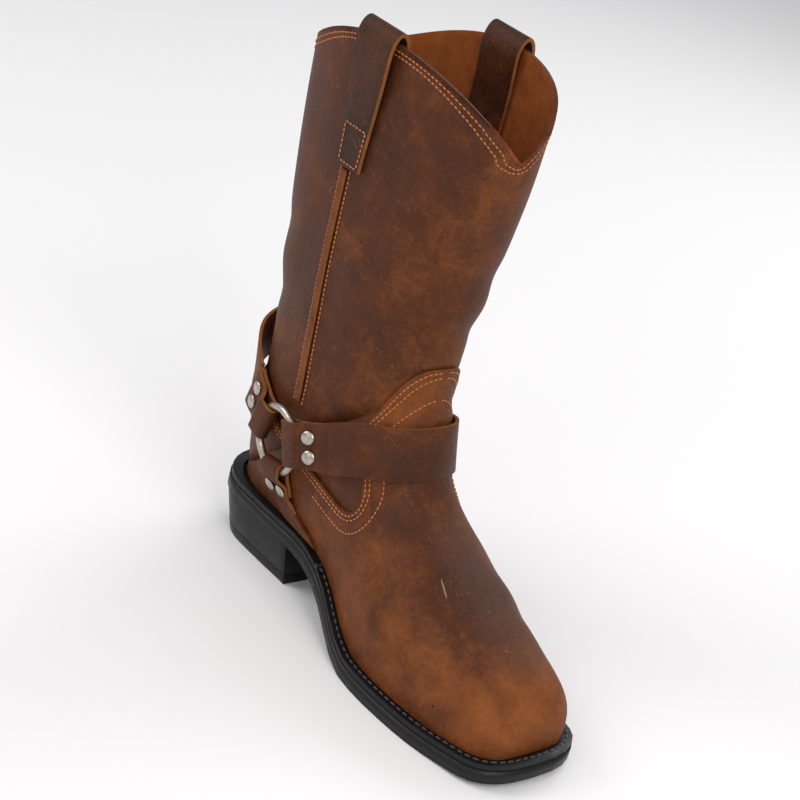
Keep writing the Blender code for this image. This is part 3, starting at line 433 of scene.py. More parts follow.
def scuffs(tree, place, hide, colour):
    """Fine scuffs: short, straight, lighter streaks in patches, where the wax is scratched."""
    patches = maths(tree, "GREATER_THAN", noise(tree, place, 40 * MM, detail=2.0), 0.5)
    for lean in SCUFF_LEANS:
        stretched = add_node(
            tree, "ShaderNodeMapping", {"Vector": place}, vector_type="TEXTURE",
            Rotation=(0.15, lean, 0), Scale=SCUFF_SIZE,
        ).outputs["Vector"]
        streaks = maths(tree, "GREATER_THAN", noise(tree, stretched, 1.0, detail=1.0), SCUFF_LEVEL)
        amount = maths(tree, "MULTIPLY", maths(tree, "MULTIPLY", streaks, patches), 0.5)
        hide = blend(tree, amount, hide, colour)
    return hide


def flesh_side(name, colour):
    """Suede, the napped flesh side of the hide: no gloss at all, short fibres brushed into soft clouds."""
    material, tree, shader = new_material(name, roughness=0.95, Specular_IOR_Level=0.1)
    place = add_node(tree, "ShaderNodeTexCoord").outputs["Object"]
    nap = noise(tree, place, 9 * MM, detail=8.0, roughness=0.7)
    fibres = noise(tree, place, 0.8 * MM, detail=4.0, roughness=0.8)
    mixed = weighted(tree, (nap, 0.6), (fibres, 0.4))
    dark = tuple(0.5 * c for c in colour)
    light = tuple(min(1.35 * c, 1) for c in colour)
    tree.links.new(ramp(tree, mixed, ((0.3, dark), (0.7, light))), shader.inputs["Base Color"])
    bumps(tree, shader, fibres, 0.8, 0.25 * MM)
    return material


def moulded_rubber(name, pebbled):
    """Moulded black rubber: satin, with faint dust, and a pebbled skin under the sole."""
    colours, _ = looks()
    material, tree, shader = new_material(name, roughness=0.42, Specular_IOR_Level=0.3)
    place = add_node(tree, "ShaderNodeTexCoord").outputs["Object"]
    dust = noise(tree, place, 14 * MM, detail=6.0, roughness=0.65)
    black = tuple(colours.rubber)
    dusty = tuple(1.9 * c for c in black)
    tree.links.new(ramp(tree, dust, ((0.4, black), (0.75, dusty))), shader.inputs["Base Color"])
    gloss(tree, shader, dust, 0.34, 0.55)
    if pebbled:
        facing = add_node(tree, "ShaderNodeNewGeometry").outputs["Normal"]
        up = add_node(tree, "ShaderNodeSeparateXYZ", {"Vector": facing}).outputs["Z"]
        under = maths(tree, "LESS_THAN", up, -0.6)
        height = maths(tree, "MULTIPLY", pebbles(tree, place, 2.6 * MM), under)
        bumps(tree, shader, height, 0.7, 0.5 * MM, invert=True)
    else:
        bumps(tree, shader, noise(tree, place, 1.2 * MM, detail=3.0), 0.7, 0.05 * MM)
    return material


def satin_nickel(name):
    """Nickel plate on steel wire, brushed to a satin: warm grey, soft reflections, small dull spots."""
    colours, _ = looks()
    material, tree, shader = new_material(name, metallic=1.0)
    place = add_node(tree, "ShaderNodeTexCoord").outputs["Object"]
    spots = noise(tree, place, 1.6 * MM, detail=6.0, roughness=0.7)
    bright = tuple(colours.nickel)
    dull = tuple(0.62 * c for c in bright)
    tree.links.new(ramp(tree, spots, ((0.35, dull), (0.55, bright))), shader.inputs["Base Color"])
    gloss(tree, shader, spots, 0.42, 0.24)
    bumps(tree, shader, spots, 0.25, 0.04 * MM)
    return material


def spun_thread(name, colour):
    """Waxed twisted thread: slightly glossy, its twist drawn coarser than real so that it shows."""
    material, tree, shader = new_material(name, roughness=0.5, Sheen_Weight=0.15)
    place = add_node(tree, "ShaderNodeTexCoord").outputs["Object"]
    twist = noise(tree, place, 0.45 * MM, detail=2.0)
    dark = tuple(0.6 * c for c in colour)
    tree.links.new(ramp(tree, twist, ((0.35, dark), (0.6, tuple(colour)))), shader.inputs["Base Color"])
    return material


def marks(tree, place, hide):
    """The few marks that the photo shows on the foot: a pinhole drawn as a dot of painted shade, a pale dot
    and a pale scratch.
    """
    vamp = Surface(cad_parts["vamp"])
    pinhole, _ = vamp.beside(*PINHOLE, -1)
    dot, _ = vamp.above(HEEL_BACK + PALE_DOT[0] * MM, PALE_DOT[1] * MM)
    spots = ((pinhole, PINHOLE_RADIUS, PINHOLE_SHADE_COLOUR), (dot, PALE_DOT_RADIUS, SCRATCH_COLOUR))
    for spot, radius, colour in spots:
        near = maths(tree, "LESS_THAN", distance_to(tree, place, spot), radius)
        hide = blend(tree, near, hide, colour)
    start, end = (vamp.above(HEEL_BACK + x * MM, y * MM)[0] for x, y in SCRATCH)
    detour = maths(tree, "ADD", distance_to(tree, place, start), distance_to(tree, place, end))
    near = maths(tree, "LESS_THAN", detour, (end - start).length + SCRATCH_DETOUR)
    return blend(tree, maths(tree, "MULTIPLY", near, 0.6), hide, SCRATCH_COLOUR)


def distance_to(tree, place, spot):
    """Distance from the shaded point to a spot."""
    apart = add_node(tree, "ShaderNodeVectorMath", {0: place}, operation="DISTANCE")
    apart.inputs[1].default_value = spot
    return apart.outputs["Value"]


def blend(tree, amount, under, colour):
    """A colour laid over another by an amount."""
    # For colours the node's amount is input 0, its colours are inputs 6 and 7 and its result is output 2.
    mix = add_node(tree, "ShaderNodeMix", data_type="RGBA")
    tree.links.new(amount, mix.inputs[0])
    tree.links.new(under, mix.inputs[6])
    mix.inputs[7].default_value = colour
    return mix.outputs[2]


MATERIALS = {}


def finish(name):
    """The finished material of a name, made when it is first asked for."""
    if name not in MATERIALS:
        colours, _ = looks()
        made = {
            "waxed leather": lambda: waxed_leather("waxed_leather"),
            "foot leather": lambda: waxed_leather("waxed_leather_foot", shift=0.05),
            "strap leather": lambda: waxed_leather("waxed_leather_strap", shift=-0.02, grain_strength=0.6),
            "pull strap leather": lambda: waxed_leather("waxed_leather_pull", shift=-0.09),
            "piping leather": lambda: waxed_leather("waxed_leather_piping", shift=0.13),
            "lining": lambda: flesh_side("suede_lining", colours.lining),
            "cut edge": lambda: flesh_side("cut_leather_edge", colours.cut_edge),
            "insole": lambda: flesh_side("insole_board", colours.cut_edge),
            "sole rubber": lambda: moulded_rubber("moulded_rubber_sole", True),
            "side rubber": lambda: moulded_rubber("moulded_rubber_side", False),
            "nickel": lambda: satin_nickel("satin_nickel_plate"),
            "thread": lambda: spun_thread("waxed_thread", colours.thread),
            "welt thread": lambda: spun_thread("waxed_thread_black", WELT_THREAD_COLOUR),
        }
        MATERIALS[name] = made[name]()
    return MATERIALS[name]


def new_object(name, data):
    """An object with its data, linked into the scene."""
    made = bpy.data.objects.new(name, data)
    bpy.context.scene.collection.objects.link(made)
    return made


def select_only(piece):
    """Makes a piece the only selected and the active one."""
    bpy.ops.object.select_all(action="DESELECT")
    piece.select_set(True)
    bpy.context.view_layer.objects.active = piece


def apply_modifiers(piece):
    """Applies a piece's modifiers in their order."""
    select_only(piece)
    for modifier in list(piece.modifiers):
        bpy.ops.object.modifier_apply(modifier=modifier.name)


def copy_of(node, name):
    """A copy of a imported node's mesh, merged and with its triangles paired into quads."""
    piece = new_object(name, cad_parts[node].data.copy())
    piece.data.materials.clear()
    select_only(piece)
    bpy.ops.object.mode_set(mode="EDIT")
    bpy.ops.mesh.select_all(action="SELECT")
    bpy.ops.mesh.remove_doubles(threshold=MERGE_DISTANCE)
    bpy.ops.mesh.tris_convert_to_quads(face_threshold=math.radians(60), shape_threshold=math.radians(60))
    bpy.ops.mesh.select_all(action="DESELECT")
    bpy.ops.object.mode_set(mode="OBJECT")
    piece.data.shade_smooth()
    return piece


def crease_sharp_edges(piece, angle):
    """Marks edges sharper than the angle, so that subdivision keeps them."""
    work = bmesh.new()
    work.from_mesh(piece.data)
    layer = work.edges.layers.float.get("crease_edge") or work.edges.layers.float.new("crease_edge")
    for edge in work.edges:
        edge[layer] = 1.0 if edge.is_boundary or edge.calc_face_angle(0) > angle else 0.0
    work.to_mesh(piece.data)
    work.free()


def subdivide(piece):
    """Smooths a piece's form by subdivision."""
    smooth = piece.modifiers.new("smooth form", "SUBSURF")
    smooth.levels = smooth.render_levels = 2
    apply_modifiers(piece)


def round_edges(piece, name, width, angle):
    """Adds a modifier that rounds the edges sharper than the angle."""
    rounded = piece.modifiers.new(name, "BEVEL")
    rounded.width = width
    rounded.segments = 2
    rounded.angle_limit = angle


def finish_piece(piece, slot, materials, *nodes):
    """Gives a piece its materials and body, and hides the nodes that it stands for."""
    for name in materials:
        piece.data.materials.append(finish(name))
    if nodes:
        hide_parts(*nodes)
    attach(piece, "root")
    return piece


def coordinates(mesh, what="co"):
    """A mesh's points as an array."""
    flat = np.empty(len(mesh.vertices) * 3)
    mesh.vertices.foreach_get(what, flat)
    return flat.reshape(-1, 3)


def normals(mesh):
    """The normals at a mesh's points as an array."""
    return coordinates(mesh, "normal")


def move_points(piece, points):
    """Puts a piece's points at new places."""
    piece.data.vertices.foreach_set("co", points.ravel())
    piece.data.update()


def smooth_step(values):
    """Values from 0 to 1, eased at both ends."""
    values = np.clip(values, 0, 1)
    return values * values * (3 - 2 * values)


def crease_depth(points):
    """How far the listed creases press each point in."""
    place = np.stack([(points[:, 0] - HEEL_BACK) / MM, points[:, 2] / MM], 1)
    pressed = np.zeros(len(points))
    for from_x, from_z, to_x, to_z, sides, width, depth in CREASES:
        start = np.array([from_x, from_z], float)
        way = np.array([to_x, to_z], float) - start
        along = np.clip((place - start) @ way / (way @ way), 0, 1)
        apart = np.linalg.norm(place - start - along[:, None] * way, axis=1)
        ends = 0.25 + 0.75 * np.sin(math.pi * np.clip(along, 0.08, 0.92))
        fade = np.exp(-((apart / width) ** 2)) * ends
        if sides != "both":
            sign = -1 if sides == "medial" else 1
            fade = fade * smooth_step(0.5 + sign * points[:, 1] / (12 * MM))
        pressed += CREASE_STRENGTH * depth * MM * fade
    return pressed


def press_creases(piece):
    """Moves a piece's skin in and out along its normals at the creases."""
    points = coordinates(piece.data)
    outward = points - nearest_inside(points)
    sign = np.sign((normals(piece.data) * outward).sum(1))
    move_points(piece, points - normals(piece.data) * (sign * crease_depth(points))[:, None])


def nearest_inside(points):
    """For each point, the nearest place on the middle line of the boot's inside."""
    line = np.array(INSIDE_LINE, float) * MM
    line[:, 0] += HEEL_BACK
    best = np.full(len(points), np.inf)
    found = np.zeros_like(points)
    for start, end in zip(line, line[1:]):
        way = end - start
        along = np.clip((points - start) @ way / (way @ way), 0, 1)
        place = start + along[:, None] * way
        apart = np.linalg.norm(points - place, axis=1)
        closer = apart < best
        best[closer] = apart[closer]
        found[closer] = place[closer]
    return found


def paint_tone_and_light(piece):
    """Stores the listed tones of the leather, partly painted highlights and painted shade, on the piece's
    points.
    """
    points = coordinates(piece.data)
    tones = np.zeros(len(points))
    for x, y, z, radius, tone in TONE_AND_LIGHT_SPOTS:
        centre = np.array([HEEL_BACK + x * MM, y * MM, z * MM])
        apart = np.linalg.norm(points - centre, axis=1) / (radius * MM)
        tones += tone * np.exp(-(apart**2))
    layer = piece.data.attributes.new("tone", "FLOAT", "POINT")
    layer.data.foreach_set("value", tones.astype(np.float32))


def distances(points):
    """How far each point lies along the line through them."""
    return np.concatenate([[0], np.cumsum(np.linalg.norm(np.diff(points, axis=0), axis=1))])


def at_distance(at, far, values):
    """Rows of values given at growing distances, read at one distance or at several."""
    return np.stack([np.interp(at, far, values[:, axis]) for axis in range(values.shape[1])], -1)


def smooth_line(points, count):
    """Evenly spaced points on a smooth line through a few points given in millimetres."""
    points = np.array(points, float)
    padded = np.concatenate([[2 * points[0] - points[1]], points, [2 * points[-1] - points[-2]]])
    fine = []
    for i in range(len(points) - 1):
        p0, p1, p2, p3 = padded[i : i + 4]
        for t in np.linspace(0, 1, 24, endpoint=False):
            fine.append(
                0.5 * (2 * p1 + (p2 - p0) * t + (2 * p0 - 5 * p1 + 4 * p2 - p3) * t**2
                       + (3 * p1 - p0 - 3 * p2 + p3) * t**3)
            )
    fine.append(points[-1])
    fine = np.array(fine)
    far = distances(fine)
    return at_distance(np.linspace(0, far[-1], count), far, fine)


def line_offset(line, distance):
    """A flat line moved to its right by a distance in millimetres."""
    along = np.gradient(line, axis=0)
    along /= np.linalg.norm(along, axis=1)[:, None]
    return line + distance * np.stack([along[:, 1], -along[:, 0]], 1)


class Surface:
    """A piece's skin, as something to lay stitches on."""

    def __init__(self, piece):
        points = [vertex.co.copy() for vertex in piece.data.vertices]
        faces = [list(polygon.vertices) for polygon in piece.data.polygons]
        self.tree = BVHTree.FromPolygons(points, faces)

    def hit(self, start, way):
        """Place and normal where a line from a start first meets the skin."""
        return self.tree.ray_cast(start, way)[:2]

    def beside(self, x, z, side):
        """Place and normal at x and z in millimetres, seen from the medial (-1) or lateral (1) side."""
        return self.hit(Vector((HEEL_BACK + x * MM, side * OUTSIDE, z * MM)), Vector((0, -side, 0)))

    def around(self, centre, turn):
        """Place and normal seen from outside at a turn about an upright axis."""
        outward = Vector((math.cos(turn), math.sin(turn), 0))
        return self.hit(centre + OUTSIDE * outward, -outward)

    def farthest(self, centre, way):
        """Where, in millimetres, a level line out from a centre leaves the sole at its widest height."""
        start = Vector((HEEL_BACK + centre[0] * MM, centre[1] * MM, 0))
        outward = Vector((*way, 0))
        reach = 0
        for height in SOLE_HEIGHTS:
            place, _ = self.hit(start + OUTSIDE * outward + Vector((0, 0, height)), -outward)
            if place is not None:
                reach = max(reach, (place - start).xy @ outward.xy)
        return centre[0] + reach * way[0] / MM, centre[1] + reach * way[1] / MM

    def above(self, x, y):
        """Place and normal at x and y in metres, seen from above."""
        return self.hit(Vector((x, y, 0.5)), Vector((0, 0, -1)))

    def below(self, x, y):
        """Place and normal at x and y in metres, seen from below."""
        return self.hit(Vector((x, y, -0.1)), Vector((0, 0, 1)))


def stitch_shape(length, width):
    """One stitch: a small closed bead, longer than it is wide and flattened onto the leather."""
    bpy.ops.mesh.primitive_uv_sphere_add(segments=8, ring_count=6, radius=0.5)
    bead = bpy.context.object
    bpy.ops.object.mode_set(mode="EDIT")
    bpy.ops.mesh.select_all(action="SELECT")
    bpy.ops.transform.resize(value=(length, width, 0.8 * width), center_override=(0, 0, 0))
    bpy.ops.object.mode_set(mode="OBJECT")
    points = coordinates(bead.data)
    faces = [list(polygon.vertices) for polygon in bead.data.polygons]
    bpy.data.objects.remove(bead)
    return points, faces


def stitch_rows(name, rows, pitch, length, width, material, slot="brown_leather", lift=0.2):
    """Rows of stitches joined into one piece. Each row is a list of (place, normal) close together, and
    lift is how far the thread's middle stands over the surface, in thread widths."""
    shape, shape_faces = stitch_shape(length, width)
    points = []
    faces = []
    for row in rows:
        places = np.array([place for place, _ in row])
        ups = np.array([normal for _, normal in row])
        far = distances(places)
        for at in np.arange(pitch / 2, far[-1], pitch):
            centre = at_distance(at, far, places)
            along = at_distance(at + pitch / 3, far, places) - at_distance(at - pitch / 3, far, places)
            along /= np.linalg.norm(along) + 1e-12
            up = at_distance(at, far, ups)
            up = up - along * (up @ along)
            up /= np.linalg.norm(up) + 1e-12
            aside = np.cross(up, along)
            turn = np.stack([along, aside, up])
            start = len(points)
            points += list(shape @ turn + centre + up * lift * width)
            faces += [[start + v for v in face] for face in shape_faces]
    mesh = bpy.data.meshes.new(name)
    mesh.from_pydata([tuple(p) for p in points], [], faces)
    mesh.shade_smooth()
    return finish_piece(new_object(name, mesh), slot, [material])


def side_row(surface, line, side):
    """A row's places on one side, from a line of (x, z) in millimetres."""
    row = []
    for x, z in line:
        place, normal = surface.beside(x, z, side)
        if place is not None:
            row.append((place, normal))
    return row


class BOOT_OT_upper(bpy.types.Operator):
    """Smooths the hollow upper, presses its creases and lines its inside with suede"""

    bl_idname = "boot.upper"
    bl_label = "Upper and lining"

    def execute(self, context):
        piece = copy_of("upper", "upper_leather")
        crease_sharp_edges(piece, PIECE_SHARP)
        subdivide(piece)
        round_edges(piece, "rounded rim", looks()[1].edge_radius, PIECE_SHARP)
        apply_modifiers(piece)
        press_creases(piece)
        paint_tone_and_light(piece)
        finish_piece(piece, "brown_leather", ["waxed leather", "lining"], "upper")
        points = np.array([polygon.center[:] for polygon in piece.data.polygons])
        facing = np.array([polygon.normal[:] for polygon in piece.data.polygons])
        inner = ((points - nearest_inside(points)) * facing).sum(1) < 0
        piece.data.polygons.foreach_set("material_index", inner.astype(np.int32))
        return {"FINISHED"}


def outer_skin(name):
    """The outside of the smoothed upper, before its creases, as an open surface."""
    skin = copy_of("upper", name)
    crease_sharp_edges(skin, PIECE_SHARP)
    subdivide(skin)
    work = bmesh.new()
    work.from_mesh(skin.data)
    centres = np.array([face.calc_center_median()[:] for face in work.faces])
    facing = np.array([face.normal[:] for face in work.faces])
    outward = centres - nearest_inside(centres)
    outward /= np.linalg.norm(outward, axis=1)[:, None]
    keep = (outward * facing).sum(1) > OUTER_FACING
    bmesh.ops.delete(work, geom=[face for face, kept in zip(work.faces, keep) if not kept], context="FACES")
    for vertex in work.verts:
        vertex.co += vertex.normal * PANEL_GAP
    work.to_mesh(skin.data)
    work.free()
    return skin


def side_prism(name, outline):
    """A closed prism across the boot over an outline of (x, z) points in millimetres."""
    work = bmesh.new()
    near = [work.verts.new((HEEL_BACK + x * MM, -PRISM_REACH, z * MM)) for x, z in outline]
    face = work.faces.new(near)
    moved = bmesh.ops.extrude_face_region(work, geom=[face])
    far = [v for v in moved["geom"] if isinstance(v, bmesh.types.BMVert)]
    bmesh.ops.translate(work, verts=far, vec=(0, 2 * PRISM_REACH, 0))
    bmesh.ops.recalc_face_normals(work, faces=work.faces)
    mesh = bpy.data.meshes.new(name)
    work.to_mesh(mesh)
    work.free()
    return new_object(name, mesh)


def panel(name, node, outline, material):
    """A leather panel over the upper: a layer of the upper's own skin, cut to an outline."""
    piece = outer_skin(name)
    shell = piece.modifiers.new("thickness", "SOLIDIFY")
    shell.thickness = PANEL_THICKNESS
    shell.offset = 1
    prism = side_prism(name + "_outline", outline)
    cut = piece.modifiers.new("outline", "BOOLEAN")
    cut.operation = "INTERSECT"
    cut.solver = "MANIFOLD"
    cut.object = prism
    apply_modifiers(piece)
    bpy.data.objects.remove(prism)
    piece.data.materials.clear()
    press_creases(piece)
    paint_tone_and_light(piece)
    select_only(piece)
    bpy.ops.object.shade_smooth_by_angle(angle=PANEL_SHADE_SHARP)
    return finish_piece(piece, "brown_leather", [material], node)


class BOOT_OT_overlays(bpy.types.Operator):
    """Cuts the vamp and the heel counter from the upper's own skin"""

    bl_idname = "boot.overlays"
    bl_label = "Vamp and counter"

    def execute(self, context):
        vamp_edge = smooth_line(VAMP_EDGE, 90)
        vamp_outline = [*vamp_edge, VAMP_CORNER, *lower_edge("vamp", VAMP_CORNER[0], OVERLAY_SEAM_X)]
        vamp_outline[0] = (OVERLAY_SEAM_X + OVERLAY_SEAM_GAP, VAMP_EDGE[0][1])
        panel("vamp_leather", "vamp", vamp_outline, "foot leather")
        counter_edge = smooth_line(COUNTER_EDGE, 30)
        counter_hem = lower_edge("heel_counter", COUNTER_CORNER[0], OVERLAY_SEAM_X - OVERLAY_SEAM_GAP)
        counter_outline = [*counter_edge, COUNTER_CORNER, *counter_hem]
        panel("counter_leather", "heel_counter", counter_outline, "foot leather")
        return {"FINISHED"}


def lower_edge(node, start, end):
    """A packed panel's lower edge seen from the side, in millimetres."""
    points = coordinates(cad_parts[node].data)
    x = (points[:, 0] - HEEL_BACK) / MM
    line = []
    for station in np.linspace(start, end, 40):
        near = np.abs(x - np.clip(station, x.min(), x.max())) < 9
        line.append((station, float(points[near, 2].min() / MM)))
    return line


def dress_strip(node, name, across, material):
    """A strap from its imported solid: smoothed along its run, its edges rounded and left raw."""
    piece = copy_of(node, name)
    crease_sharp_edges(piece, STRAP_SHARP)
    for polygon in piece.data.polygons:
        polygon.material_index = int(abs(polygon.normal[across]) > RAW_EDGE_FACING)
    subdivide(piece)
    round_edges(piece, "rounded edges", looks()[1].edge_radius, math.radians(48))
    apply_modifiers(piece)
    paint_tone_and_light(piece)
    select_only(piece)
    bpy.ops.object.shade_smooth_by_angle(angle=PIECE_SHARP)
    return finish_piece(piece, "brown_leather", [material, "cut edge"], node)


def settle_loop(piece):
    """Lets a pull strap's loop sink a little over the rim, as worn leather does."""
    points = coordinates(piece.data)
    points[:, 2] -= LOOP_SETTLE * smooth_step((points[:, 2] - LOOP_SETTLE_START) / LOOP_SETTLE_LENGTH)
    move_points(piece, points)


class BOOT_OT_straps(bpy.types.Operator):
    """Dresses the harness straps, the pull straps and the seam pipings"""

    bl_idname = "boot.straps"
    bl_label = "Straps and pipings"

    def execute(self, context):
        dress_strip("front_strap", "front_strap_leather", 2, "strap leather")
        dress_strip("back_strap", "back_strap_leather", 2, "strap leather")
        for _, word in SIDES:
            dress_strip("low_strap_" + word, f"low_strap_{word}_leather", 0, "strap leather")
            pull = dress_strip("pull_strap_" + word, f"pull_strap_{word}_leather", 0, "pull strap leather")
            settle_loop(pull)
            dress_strip("seam_piping_" + word, f"seam_piping_{word}_leather", 0, "piping leather")
        return {"FINISHED"}


def flat_frame(node):
    """Centre of a flat round node and its axis, pointing away from the boot."""
    points = coordinates(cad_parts[node].data)
    low, high = points.min(0), points.max(0)
    centre = (low + high) / 2
    _, _, axes = np.linalg.svd(points - points.mean(0), full_matrices=False)
    axis = Vector(axes[2])
    return Vector(centre), axis if axis.y * centre[1] > 0 else -axis


def placed(piece, centre, axis):
    """Moves a piece made at the origin to its centre, its Z along the axis."""
    piece.data.transform(Matrix.Translation(centre) @ axis.to_track_quat("Z", "Y").to_matrix().to_4x4())
    return piece


class BOOT_OT_hardware(bpy.types.Operator):
    """Makes the round rings and the domed rivets"""

    bl_idname = "boot.hardware"
    bl_label = "Rings and rivets"

    def execute(self, context):
        for _, word in SIDES:
            centre, axis = flat_frame("ring_" + word)
            bpy.ops.mesh.primitive_torus_add(
                major_radius=RING_RADIUS, minor_radius=RING_WIRE, major_segments=96, minor_segments=24
            )
            ring = bpy.context.object
            ring.name = ring.data.name = f"ring_{word}_nickel"
            ring.data.shade_smooth()
            finish_piece(placed(ring, centre, axis), "satin_nickel", ["nickel"], "ring_" + word)
        for place in ("front", "back", "low"):
            for _, word in SIDES:
                for number in (1, 2):
                    rivet_head(f"rivet_{place}_{word}_{number}")
        return {"FINISHED"}


def rivet_head(node):
    """A rivet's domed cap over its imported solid, with a rolled rim."""
    centre, axis = flat_frame(node)
    bpy.ops.mesh.primitive_uv_sphere_add(segments=32, ring_count=16, radius=RIVET_RADIUS)
    cap = bpy.context.object
    cap.name = cap.data.name = node + "_nickel"
    bpy.ops.object.mode_set(mode="EDIT")
    bpy.ops.mesh.select_all(action="SELECT")
    bpy.ops.mesh.bisect(plane_co=(0, 0, 0), plane_no=(0, 0, 1), clear_inner=True, use_fill=True)
    bpy.ops.mesh.select_all(action="SELECT")
    bpy.ops.transform.resize(value=(1, 1, RIVET_FLATNESS), center_override=(0, 0, 0))
    bpy.ops.transform.translate(value=(0, 0, -RIVET_SINK))
    bpy.ops.object.mode_set(mode="OBJECT")
    round_edges(cap, "rolled rim", RIVET_EDGE, math.radians(60))
    apply_modifiers(cap)
    cap.data.shade_smooth()
    return finish_piece(placed(cap, centre, axis), "satin_nickel", ["nickel"], node)


def rim_heights(piece):
    """Height of the collar's edge at each degree round it."""
    points = coordinates(piece.data)
    edge = (normals(piece.data)[:, 2] > RIM_FACING) & (points[:, 2] > COLLAR_CENTRE.z - RIM_DEPTH)
    turns = np.arctan2(points[edge, 1], points[edge, 0] - COLLAR_CENTRE.x)
    return np.interp(np.radians(np.arange(360)), turns, points[edge, 2], period=2 * math.pi)


def rim_row(surface, heights, below):
    """Places along the collar at one distance in metres from its edge, measured across the slope too."""
    degree = COLLAR_RADIUS * math.radians(1)
    reach = int(below / degree)
    lowest = []
    for aside in range(-reach, reach + 1):
        lowest.append(np.roll(heights, aside) - math.sqrt(below**2 - (aside * degree) ** 2))
    row = []
    for turn, height in enumerate(np.min(lowest, axis=0)):
        centre = Vector((COLLAR_CENTRE.x, COLLAR_CENTRE.y, height))
        row.append(surface.around(centre, math.radians(turn)))
    return row + row[:1]


class BOOT_OT_stitching(bpy.types.Operator):
    """Sews the rim, seams, vamp, counter, pull straps, welt and sole"""

    bl_idname = "boot.stitching"
    bl_label = "Stitching"

    def execute(self, context):
        _, sizes = looks()
        sewn = (sizes.stitch_pitch, sizes.stitch_length, sizes.thread_width, "thread")
        upper = Surface(bpy.data.objects["upper_leather"])
        heights = rim_heights(bpy.data.objects["upper_leather"])
        rim_rows = [rim_row(upper, heights, below) for below in RIM_ROWS]
        stitch_rows("rim_stitches", rim_rows, *sewn)
        vamp = Surface(bpy.data.objects["vamp_leather"])
        counter = Surface(bpy.data.objects["counter_leather"])
        vamp_edge = smooth_line(VAMP_EDGE, VAMP_EDGE_POINTS)
        counter_edge = smooth_line(COUNTER_EDGE, COUNTER_EDGE_POINTS)
        seam_rows = []
        vamp_rows = []
        pull_rows = []
        for side, word in SIDES:
            for inset, first, last in VAMP_ROWS:
                vamp_rows.append(side_row(vamp, line_offset(vamp_edge, inset)[first:last], side))
            for inset, first, last in COUNTER_ROWS:
                vamp_rows.append(side_row(counter, line_offset(counter_edge, -inset)[first:last], side))
            for aside in (-SEAM_ROW_ASIDE, SEAM_ROW_ASIDE):
                line = [(SEAM_X + aside, z) for z in np.linspace(*SEAM_ROW_ENDS, 120)]
                seam_rows.append(side_row(upper, line, side))
            pull = Surface(bpy.data.objects[f"pull_strap_{word}_leather"])
            for start, end in zip(PULL_STRAP_BOX, PULL_STRAP_BOX[1:]):
                pull_rows.append(side_row(pull, np.linspace(start, end, 16), side))
        stitch_rows("vamp_stitches", vamp_rows, *sewn)
        stitch_rows("seam_stitches", seam_rows, *sewn)
        stitch_rows("pull_strap_stitches", pull_rows, *sewn)
        welt = Surface(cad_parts["welt"])
        outsole = Surface(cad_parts["outsole"])
        welt_row = row_along(sole_line(welt, WELT_ROW_INSET), welt.above)
        sole_row = row_along(sole_line(outsole, SOLE_ROW_INSET), outsole.below)
        pitch, width = sizes.welt_pitch, sizes.thread_width
        black = ("welt thread", "black_rubber")
        stitch_rows("welt_stitches", [welt_row], pitch, 0.8 * pitch, 1.3 * width, *black)
        stitch_rows("sole_stitches", [sole_row], pitch, 0.7 * pitch, 1.2 * width, *black, lift=-0.3)
        return {"FINISHED"}


def row_along(line, find):
    """A row's places found above or below a line of (x, y) in millimetres."""
    places = [find(HEEL_BACK + x * MM, y * MM) for x, y in line]
    return [place for place in places if place[0] is not None]


def sole_line(sole, inset):
    """A line round the forefoot, inside the sole's edge: medial waist, toe, lateral waist."""
    edge = []
    for turn in np.radians(np.arange(-90, 91, 3)):
        edge.append(sole.farthest(TREAD_CENTRE, (math.cos(turn), math.sin(turn))))
    for x in np.linspace(TREAD_CENTRE[0] - 8, TREAD_BACK_X, 16):
        edge.insert(0, sole.farthest((x, TREAD_CENTRE[1]), (0, -1)))
        edge.append(sole.farthest((x, TREAD_CENTRE[1]), (0, 1)))
    return line_offset(smooth_line(edge, 700), -inset)


class BOOT_OT_sole(bpy.types.Operator):
    """Finishes the rubber sole, the welt, the heel and the insole"""

    bl_idname = "boot.sole"
    bl_label = "Sole"

    def execute(self, context):
        for node, name in SOLE_FINISHES.items():
            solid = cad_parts[node]
            solid.data.materials.clear()
            solid.data.materials.append(finish(name))
            weld = solid.modifiers.new("joined faces", "WELD")
            weld.merge_threshold = MERGE_DISTANCE
            if node != "outsole":
                round_edges(solid, "moulded edges", RUBBER_EDGE, PIECE_SHARP)
            select_only(solid)
            bpy.ops.object.shade_smooth_by_angle(angle=RUBBER_SHADE_SHARP)
        return {"FINISHED"}


class BOOT_OT_stage(bpy.types.Operator):
    """Sets the pale floor, the soft lights and the camera at the photo's angle"""

    bl_idname = "boot.stage"
    bl_label = "Stage"

    def execute(self, context):
        colours, _ = looks()
        bpy.ops.mesh.primitive_plane_add(size=8)
        floor = bpy.context.object
        floor.name = "floor"
        material, _, shader = new_material("matte_floor", roughness=0.6)
        shader.inputs["Base Color"].default_value = (*colours.floor, 1)
        floor.data.materials.append(material)
        world = bpy.data.worlds.new("studio")
        world.use_nodes = True
        background = world.node_tree.nodes["Background"]
        background.inputs["Color"].default_value = WORLD_COLOUR
        background.inputs["Strength"].default_value = WORLD_STRENGTH
        context.scene.world = world
        for light in LIGHTS:
            area_light(*light)
        context.scene.view_settings.view_transform = "Standard"
        camera_at_photo_angle()
        return {"FINISHED"}


def area_light(name, place, size, power):
    """A square soft light that faces the boot."""
    data = bpy.data.lights.new(name, "AREA")
    data.size = size
    data.energy = power
    light = new_object(name, data)
    light.location = place
    light.rotation_euler = (BOOT_MIDDLE - Vector(place)).to_track_quat("-Z", "Y").to_euler()


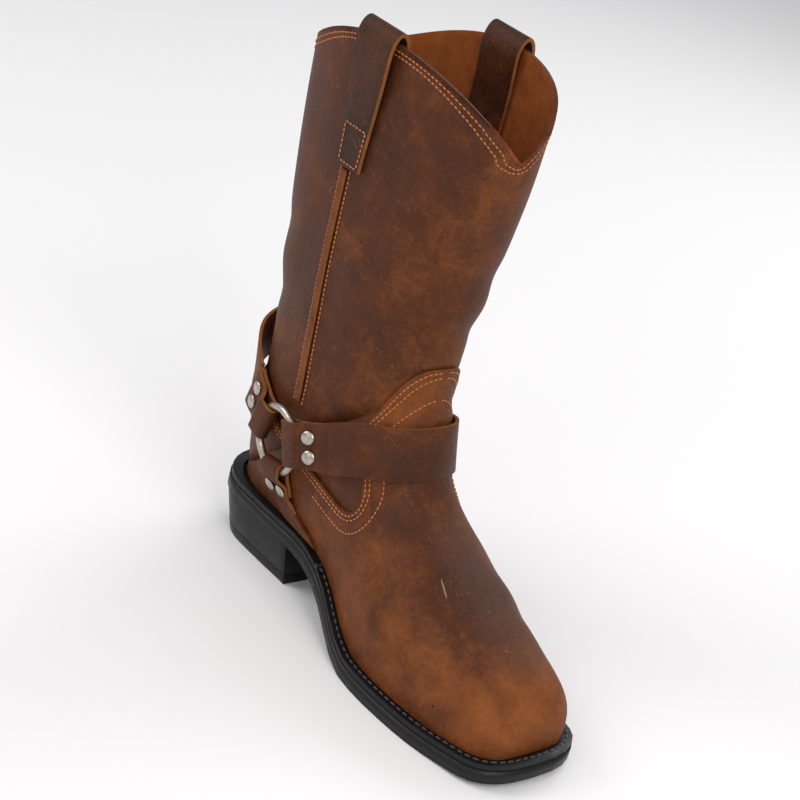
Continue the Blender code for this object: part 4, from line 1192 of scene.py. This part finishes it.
def camera_at_photo_angle():
    """Sets the camera where the photo's stood."""
    azimuth = math.radians(CAMERA_AZIMUTH)
    elevation = math.radians(CAMERA_ELEVATION)
    back = Vector((
        math.sin(azimuth) * math.cos(elevation), -math.cos(azimuth) * math.cos(elevation), math.sin(elevation)
    ))
    right = Vector((math.cos(azimuth), math.sin(azimuth), 0))
    up = back.cross(right)
    roll = math.radians(CAMERA_ROLL)
    rolled_right = math.cos(roll) * right + math.sin(roll) * up
    rolled_up = math.cos(roll) * up - math.sin(roll) * right
    data = bpy.data.cameras.new("photo_angle")
    data.sensor_width = 36
    data.lens = CAMERA_LENS
    data.shift_x, data.shift_y = CAMERA_SHIFT
    camera = new_object("photo_angle", data)
    turn = Matrix((rolled_right, rolled_up, back)).transposed().to_4x4()
    camera.matrix_world = Matrix.Translation(BOOT_MIDDLE + back * CAMERA_DISTANCE) @ turn
    bpy.context.scene.camera = camera


OPERATORS = (
    BOOT_OT_stage, BOOT_OT_upper, BOOT_OT_overlays, BOOT_OT_straps, BOOT_OT_hardware, BOOT_OT_stitching,
    BOOT_OT_sole,
)


class BOOT_PT_looks(bpy.types.Panel):
    """Lists the boot's steps, colours and sizes."""

    bl_idname = "BOOT_PT_looks"
    bl_label = "Harness boot"
    bl_space_type = "VIEW_3D"
    bl_region_type = "UI"
    bl_category = "Boot"

    def draw(self, context):
        for operator in OPERATORS:
            self.layout.operator(operator.bl_idname)
        for group in (context.scene.boot_colours, context.scene.boot_sizes):
            for name in group.__annotations__:
                self.layout.prop(group, name)


CLASSES = (BootColours, BootSizes, *OPERATORS, BOOT_PT_looks)


def register():
    for item in CLASSES:
        bpy.utils.register_class(item)
    bpy.types.Scene.boot_colours = bpy.props.PointerProperty(type=BootColours)
    bpy.types.Scene.boot_sizes = bpy.props.PointerProperty(type=BootSizes)


def unregister():
    del bpy.types.Scene.boot_sizes
    del bpy.types.Scene.boot_colours
    for item in reversed(CLASSES):
        bpy.utils.unregister_class(item)


def main():
    register()
    bpy.ops.boot.stage()
    bpy.ops.boot.upper()
    bpy.ops.boot.overlays()
    bpy.ops.boot.straps()
    bpy.ops.boot.hardware()
    bpy.ops.boot.stitching()
    bpy.ops.boot.sole()


if __name__ == "__main__":
    main()
